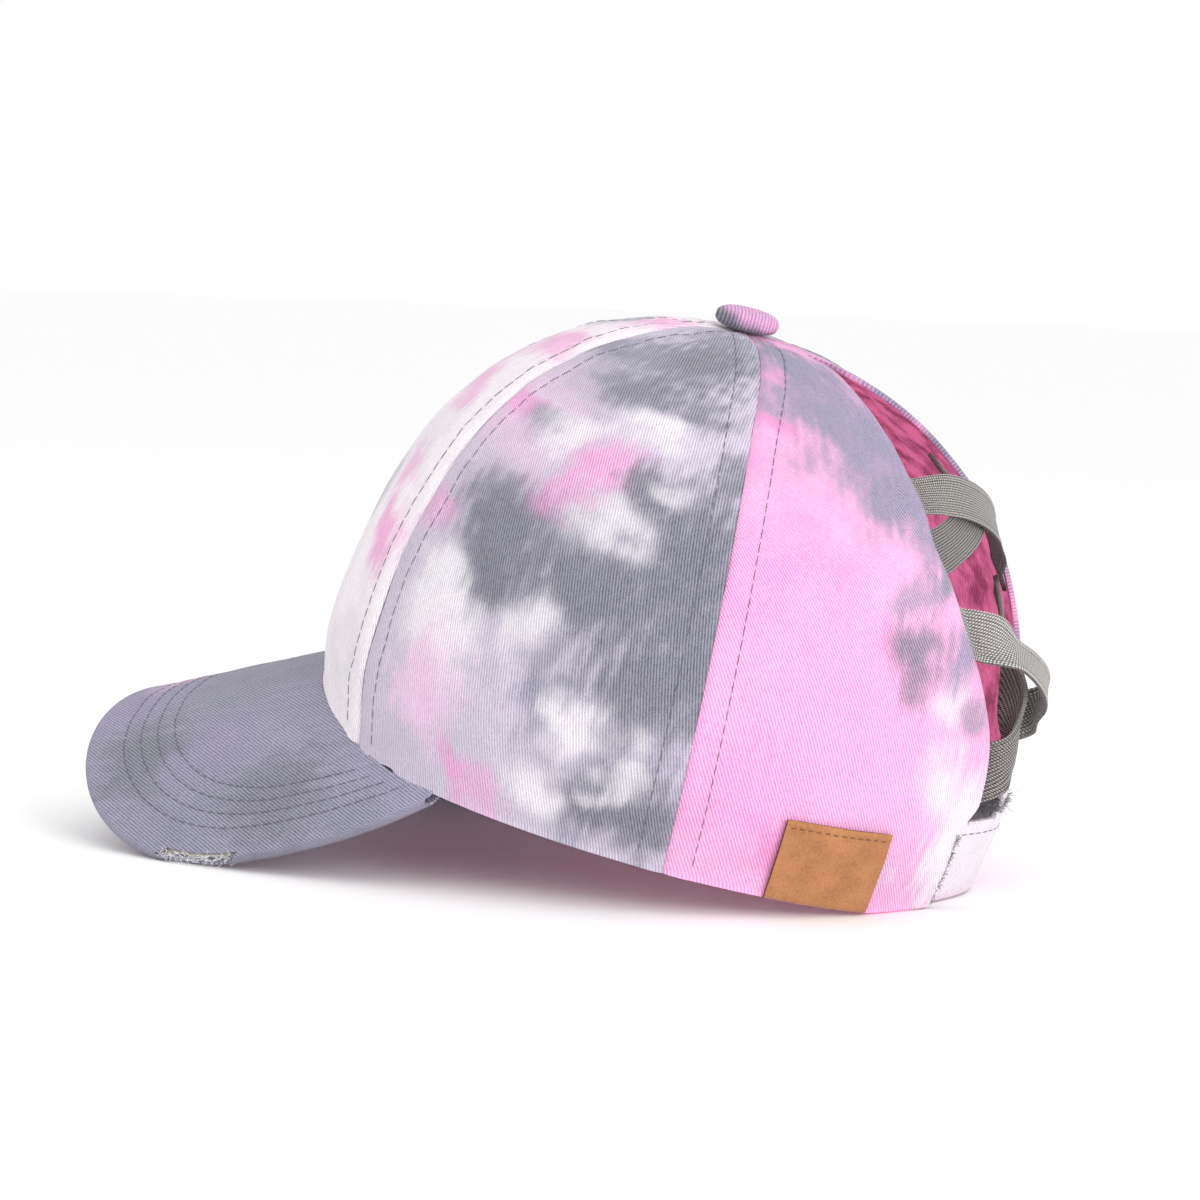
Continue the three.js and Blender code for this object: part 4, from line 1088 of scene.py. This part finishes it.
class CAP_OT_tapes(bpy.types.Operator):
    """Makes the closure's fuzzy tapes and the sweatband"""
    bl_idname = "cap.tapes"
    bl_label = "Tapes and sweatband"

    def execute(self, context):
        start = SETBACK - 1.5 * TAPE_WALL
        tape("tape_hook", "hook_tape", start, start + HOOK_LENGTH, 1.5 * TAPE_WALL, TAB_HEIGHT - TAPE_WALL,
             20, 26, lambda x: -CLOTH_WALL - LAYER_GAP)
        end = 1.3 * SETBACK
        tape("tape_loop", "loop_tape", -end, end, TAB_HEIGHT / 2, TAB_HEIGHT + LOOP_RISE, 50, 18,
             lambda x: tuck(x, 0) - CLOTH_WALL - LAYER_GAP)
        low = float(back_turn(-end - 4, 0)) - 2 * math.pi
        high = float(back_turn(TAB_REACH + 3, 0))

        def place(s, t):
            turn = low + (high - low) * s
            up = climb(turn, 4 + 28 * t)
            p, n = crown_off(turn, up, -CLOTH_WALL - LAYER_GAP + 0.12 * ripple(turn * 5, t, 95))
            return to_row(p)
        o = sheet("cloth_sweatband", 260, 18, place, 1.5, lambda s, t: (s * 420, t * 28), rim=0.4,
                  cloths=("sweatband",))
        settle(o, "sweatband")
        return {"FINISHED"}


# Button and label
class CAP_OT_button(bpy.types.Operator):
    """Makes the cloth-covered button on the top"""
    bl_idname = "cap.button"
    bl_label = "Button"

    def execute(self, context):
        alone()
        bpy.ops.mesh.primitive_uv_sphere_add(segments=64, ring_count=40, radius=1)
        o = context.object
        o.name = o.data.name = "cloth_button"
        mesh = o.data
        p = read(mesh)
        r, z = np.hypot(p[:, 0], p[:, 1]), p[:, 2]
        # a squat rounded drum: the sphere is pushed towards a flat top and a flat foot
        wide = np.clip(r, 0, 1) ** 0.55
        a = np.arctan2(p[:, 1], p[:, 0])
        pleat = 1 + 0.012 * np.sin(a * 9) * (z < 0)
        shape = np.stack([np.cos(a) * wide * 8.95 * pleat, np.sin(a) * wide * 8.95 * pleat,
                          3.65 + np.sign(z) * np.abs(z) ** 0.75 * 2.95 + 0.5 * (1 - wide ** 2) * (z > 0)], -1)
        shape[:, 1] += APEX_SHIFT
        shape[:, 2] += CROWN_HEIGHT - 0.35
        write(mesh.vertices, "co", to_row(shape) * 0.001)
        # the cloth is drawn down evenly, so its ribs run over the top and down the side
        flat = np.stack([shape[:, 1] * 0.9 - shape[:, 0] * 0.44, shape[:, 2] + shape[:, 0] * 0.9], -1)
        mesh.uv_layers[0].name = "UVMap"
        write(mesh.uv_layers[0].data, "uv", flat[corners(mesh)])
        # pink towards the top and the back, grey-purple below and in front: the darker underside is painted
        # shade, and the change from front to back is dye
        dye_and_painted_shade = smooth((z * 0.7 + p[:, 1] * 0.5 + 0.35 + 0.25 * ripple(p[:, 0], p[:, 1], 97)) / 0.9)[:, None]
        rgb = np.array(linear("4f465c")) * (1 - dye_and_painted_shade) + np.array(linear("cf8abf")) * dye_and_painted_shade
        layer = mesh.attributes.new("dye", "FLOAT_COLOR", "POINT")
        write(layer.data, "color", np.concatenate([rgb, np.ones((len(rgb), 1))], 1))
        wear(o, "button twill")
        settle(o, "button")
        return {"FINISHED"}


# Turn in degrees, then width, height and wall in mm
LABEL = (140.5, 29.0, 22.0, 1.1)


class CAP_OT_label(bpy.types.Operator):
    """Makes the bare suede label folded round the hem, with its stitched ridge"""
    bl_idname = "cap.label"
    bl_label = "Suede label"

    def execute(self, context):
        turn, width, height, wall = math.radians(LABEL[0]), *LABEL[1:]
        speed = float(np.linalg.norm(crown(turn + 0.01, 0) - crown(turn - 0.01, 0))) / 0.02
        span = width / 2 / speed
        far, inner = LAYER_GAP + wall, -CLOTH_WALL - LAYER_GAP
        # share of the way from the top over the fold to the inner end, height, distance off the crown
        knots = np.array([
            (0.0, height, far), (0.70, 2.0, far), (0.77, -0.3, far), (0.82, -1.2, far - 0.8),
            (0.88, -1.5, -0.4), (0.93, -1.2, inner + 0.1), (0.96, -0.2, inner - 0.4),
            (1.0, 2.2, inner - 0.6)])

        def place(s, t):
            k = 1 - t
            up_mm, off = np.interp(k, knots[:, 0], knots[:, 1]), np.interp(k, knots[:, 0], knots[:, 2])
            at = turn + (s * 2 - 1) * span
            curl = 0.5 * smooth((0.10 - s) / 0.10) * smooth(up_mm / 6)
            curl = curl + 0.25 * np.exp(-((height - up_mm - 1.0) / 0.8) ** 2)
            curl = curl + 0.18 * ripple(s * 2, t * 2, 101) * smooth(up_mm / 3)
            p, n = crown_off(at, climb(at, np.maximum(0, up_mm)), off + curl)
            p[..., 2] += np.minimum(0, up_mm)
            return to_row(p)
        o = sheet("suede_label", 60, 90, place, wall * 0.85, lambda s, t: (s * width, t * 30), rim=0.2,
                  cloths=("suede", "burnt edge"), edge=1)
        settle(o, "label")
        s = np.linspace(0.03, 0.97, 60)
        at = turn + (s * 2 - 1) * span
        p, n = crown_off(at, climb(at, height - 1.9), far)
        laid = lie_on(("suede_label",), *stitches(to_row(p), turned_back(n), 2.3, 1.7), 0.1)
        settle(copies("thread_label", *laid, 1.7, 0.2, "brown thread"))
        return {"FINISHED"}


# Thread
STITCH_PITCH = 1.12


class CAP_OT_thread(bpy.types.Operator):
    """Sews the rows of topstitching along the seams, the slit and the peak"""
    bl_idname = "cap.thread"
    bl_label = "Topstitching"

    def execute(self, context):
        sizes = context.scene.cap_sizes
        rows = []

        def add_row(p, n):
            rows.append(stitches(to_row(p), turned_back(n), sizes.stitch * STITCH_PITCH, sizes.stitch))

        def sew(name, cloth):
            laid = lie_on(cloth, *[np.concatenate(v) for v in zip(*rows)], 0.06)
            settle(copies(name, *laid, sizes.stitch, sizes.thread, "thread"))
            rows.clear()
        up = np.linspace(0.012, 0.93, 160)
        for seam in (0, SEAM_FRONT, SEAM_REAR, -SEAM_FRONT, -SEAM_REAR):
            for side in (-1, 1):
                add_row(*crown_off(math.radians(seam) + side * sizes.seam_row / radius_at(up), up, 0.02))
        # along the upper edge of the closure's tab
        x = np.linspace(SETBACK - 4, -30, 60)
        top = float(climb(math.pi, TAB_HEIGHT - 3.5))
        add_row(*crown_off(back_turn(x, top), top, tuck(x, top) + 0.1))
        names = [o.name for o in context.scene.objects]
        sew("thread_crown", [n for n in names if n.startswith("cloth_") and n.endswith("_panel")])
        share = np.linspace(-0.97, 0.97, 500)
        for inset in PEAK_ROWS[:sizes.peak_rows]:
            for depth, sign in ((0.28, 1), (PEAK_THICK - 0.28, -1)):
                spot, edge = peak_spot(share, 1, inset, 0 * share)
                keep = np.abs(edge - inset) < 0.5
                p = peak_point(spot[keep, 0] / PEAK_RADIUS, spot[keep, 1], depth)
                q = peak_point(spot[keep, 0] / PEAK_RADIUS, spot[keep, 1], depth - sign)
                add_row(p, unit(q - p))
        sew("thread_peak", ("cloth_peak_cover",))
        # white threads hang out of the tear in the peak's edge
        share = np.linspace(0.565, 0.682, 24)
        for part, way, depth in (("upper", 0.985, 0.2), ("lower", 0.99, 3.6)):
            spot, edge = peak_spot(share, way, 1.0, 0 * share)
            p = to_row(peak_point(spot[:, 0] / PEAK_RADIUS, spot[:, 1], depth))
            q = to_row(peak_point(spot[:, 0] / PEAK_RADIUS, spot[:, 1] + 1, depth))
            fibres("fray_" + part, p, q - p, 120, 2.4, 0.06, 0.5, "fray", 103)
        # dark pile on the loop tape's upper edge, and the raw end of the left panel
        x = np.linspace(-1.3 * SETBACK, 6, 40)
        high = float(climb(math.pi, TAB_HEIGHT + LOOP_RISE - 1.0))
        p, n = crown_off(back_turn(x, high), high, tuck(x, 0) - CLOTH_WALL)
        fibres("pile_tape", to_row(p), turned_back(n), 1500, 2.4, 0.06, 1.1, "tape", 107)
        up = np.linspace(0.01, 0.11, 40)
        p, n = crown_off(back_turn(left_edge(up) - 0.2, up), up, -0.9)
        fibres("pile_edge", to_row(p), turned_back(n), 900, 1.7, 0.06, 0.45, "tape", 109)
        return {"FINISHED"}


class CAP_PT_sidebar(bpy.types.Panel):
    bl_label = "Ponytail cap"
    bl_idname = "CAP_PT_sidebar"
    bl_space_type = "VIEW_3D"
    bl_region_type = "UI"
    bl_category = "Cap"

    def draw(self, context):
        for key in CapSizes.__annotations__:
            self.layout.prop(context.scene.cap_sizes, key)
        for operator in OPERATORS:
            self.layout.operator(operator.bl_idname)


OPERATORS = (CAP_OT_stage, CAP_OT_panels, CAP_OT_peak, CAP_OT_straps, CAP_OT_tapes, CAP_OT_button,
             CAP_OT_label, CAP_OT_thread)
CLASSES = (CapSizes, *OPERATORS, CAP_PT_sidebar)


def register():
    for c in CLASSES:
        bpy.utils.register_class(c)
    bpy.types.Scene.cap_sizes = PointerProperty(type=CapSizes)


def unregister():
    del bpy.types.Scene.cap_sizes
    for c in reversed(CLASSES):
        bpy.utils.unregister_class(c)


def main():
    register()
    for operator in OPERATORS:
        group, name = operator.bl_idname.split(".")
        getattr(getattr(bpy.ops, group), name)()


if __name__ == "__main__":
    main()
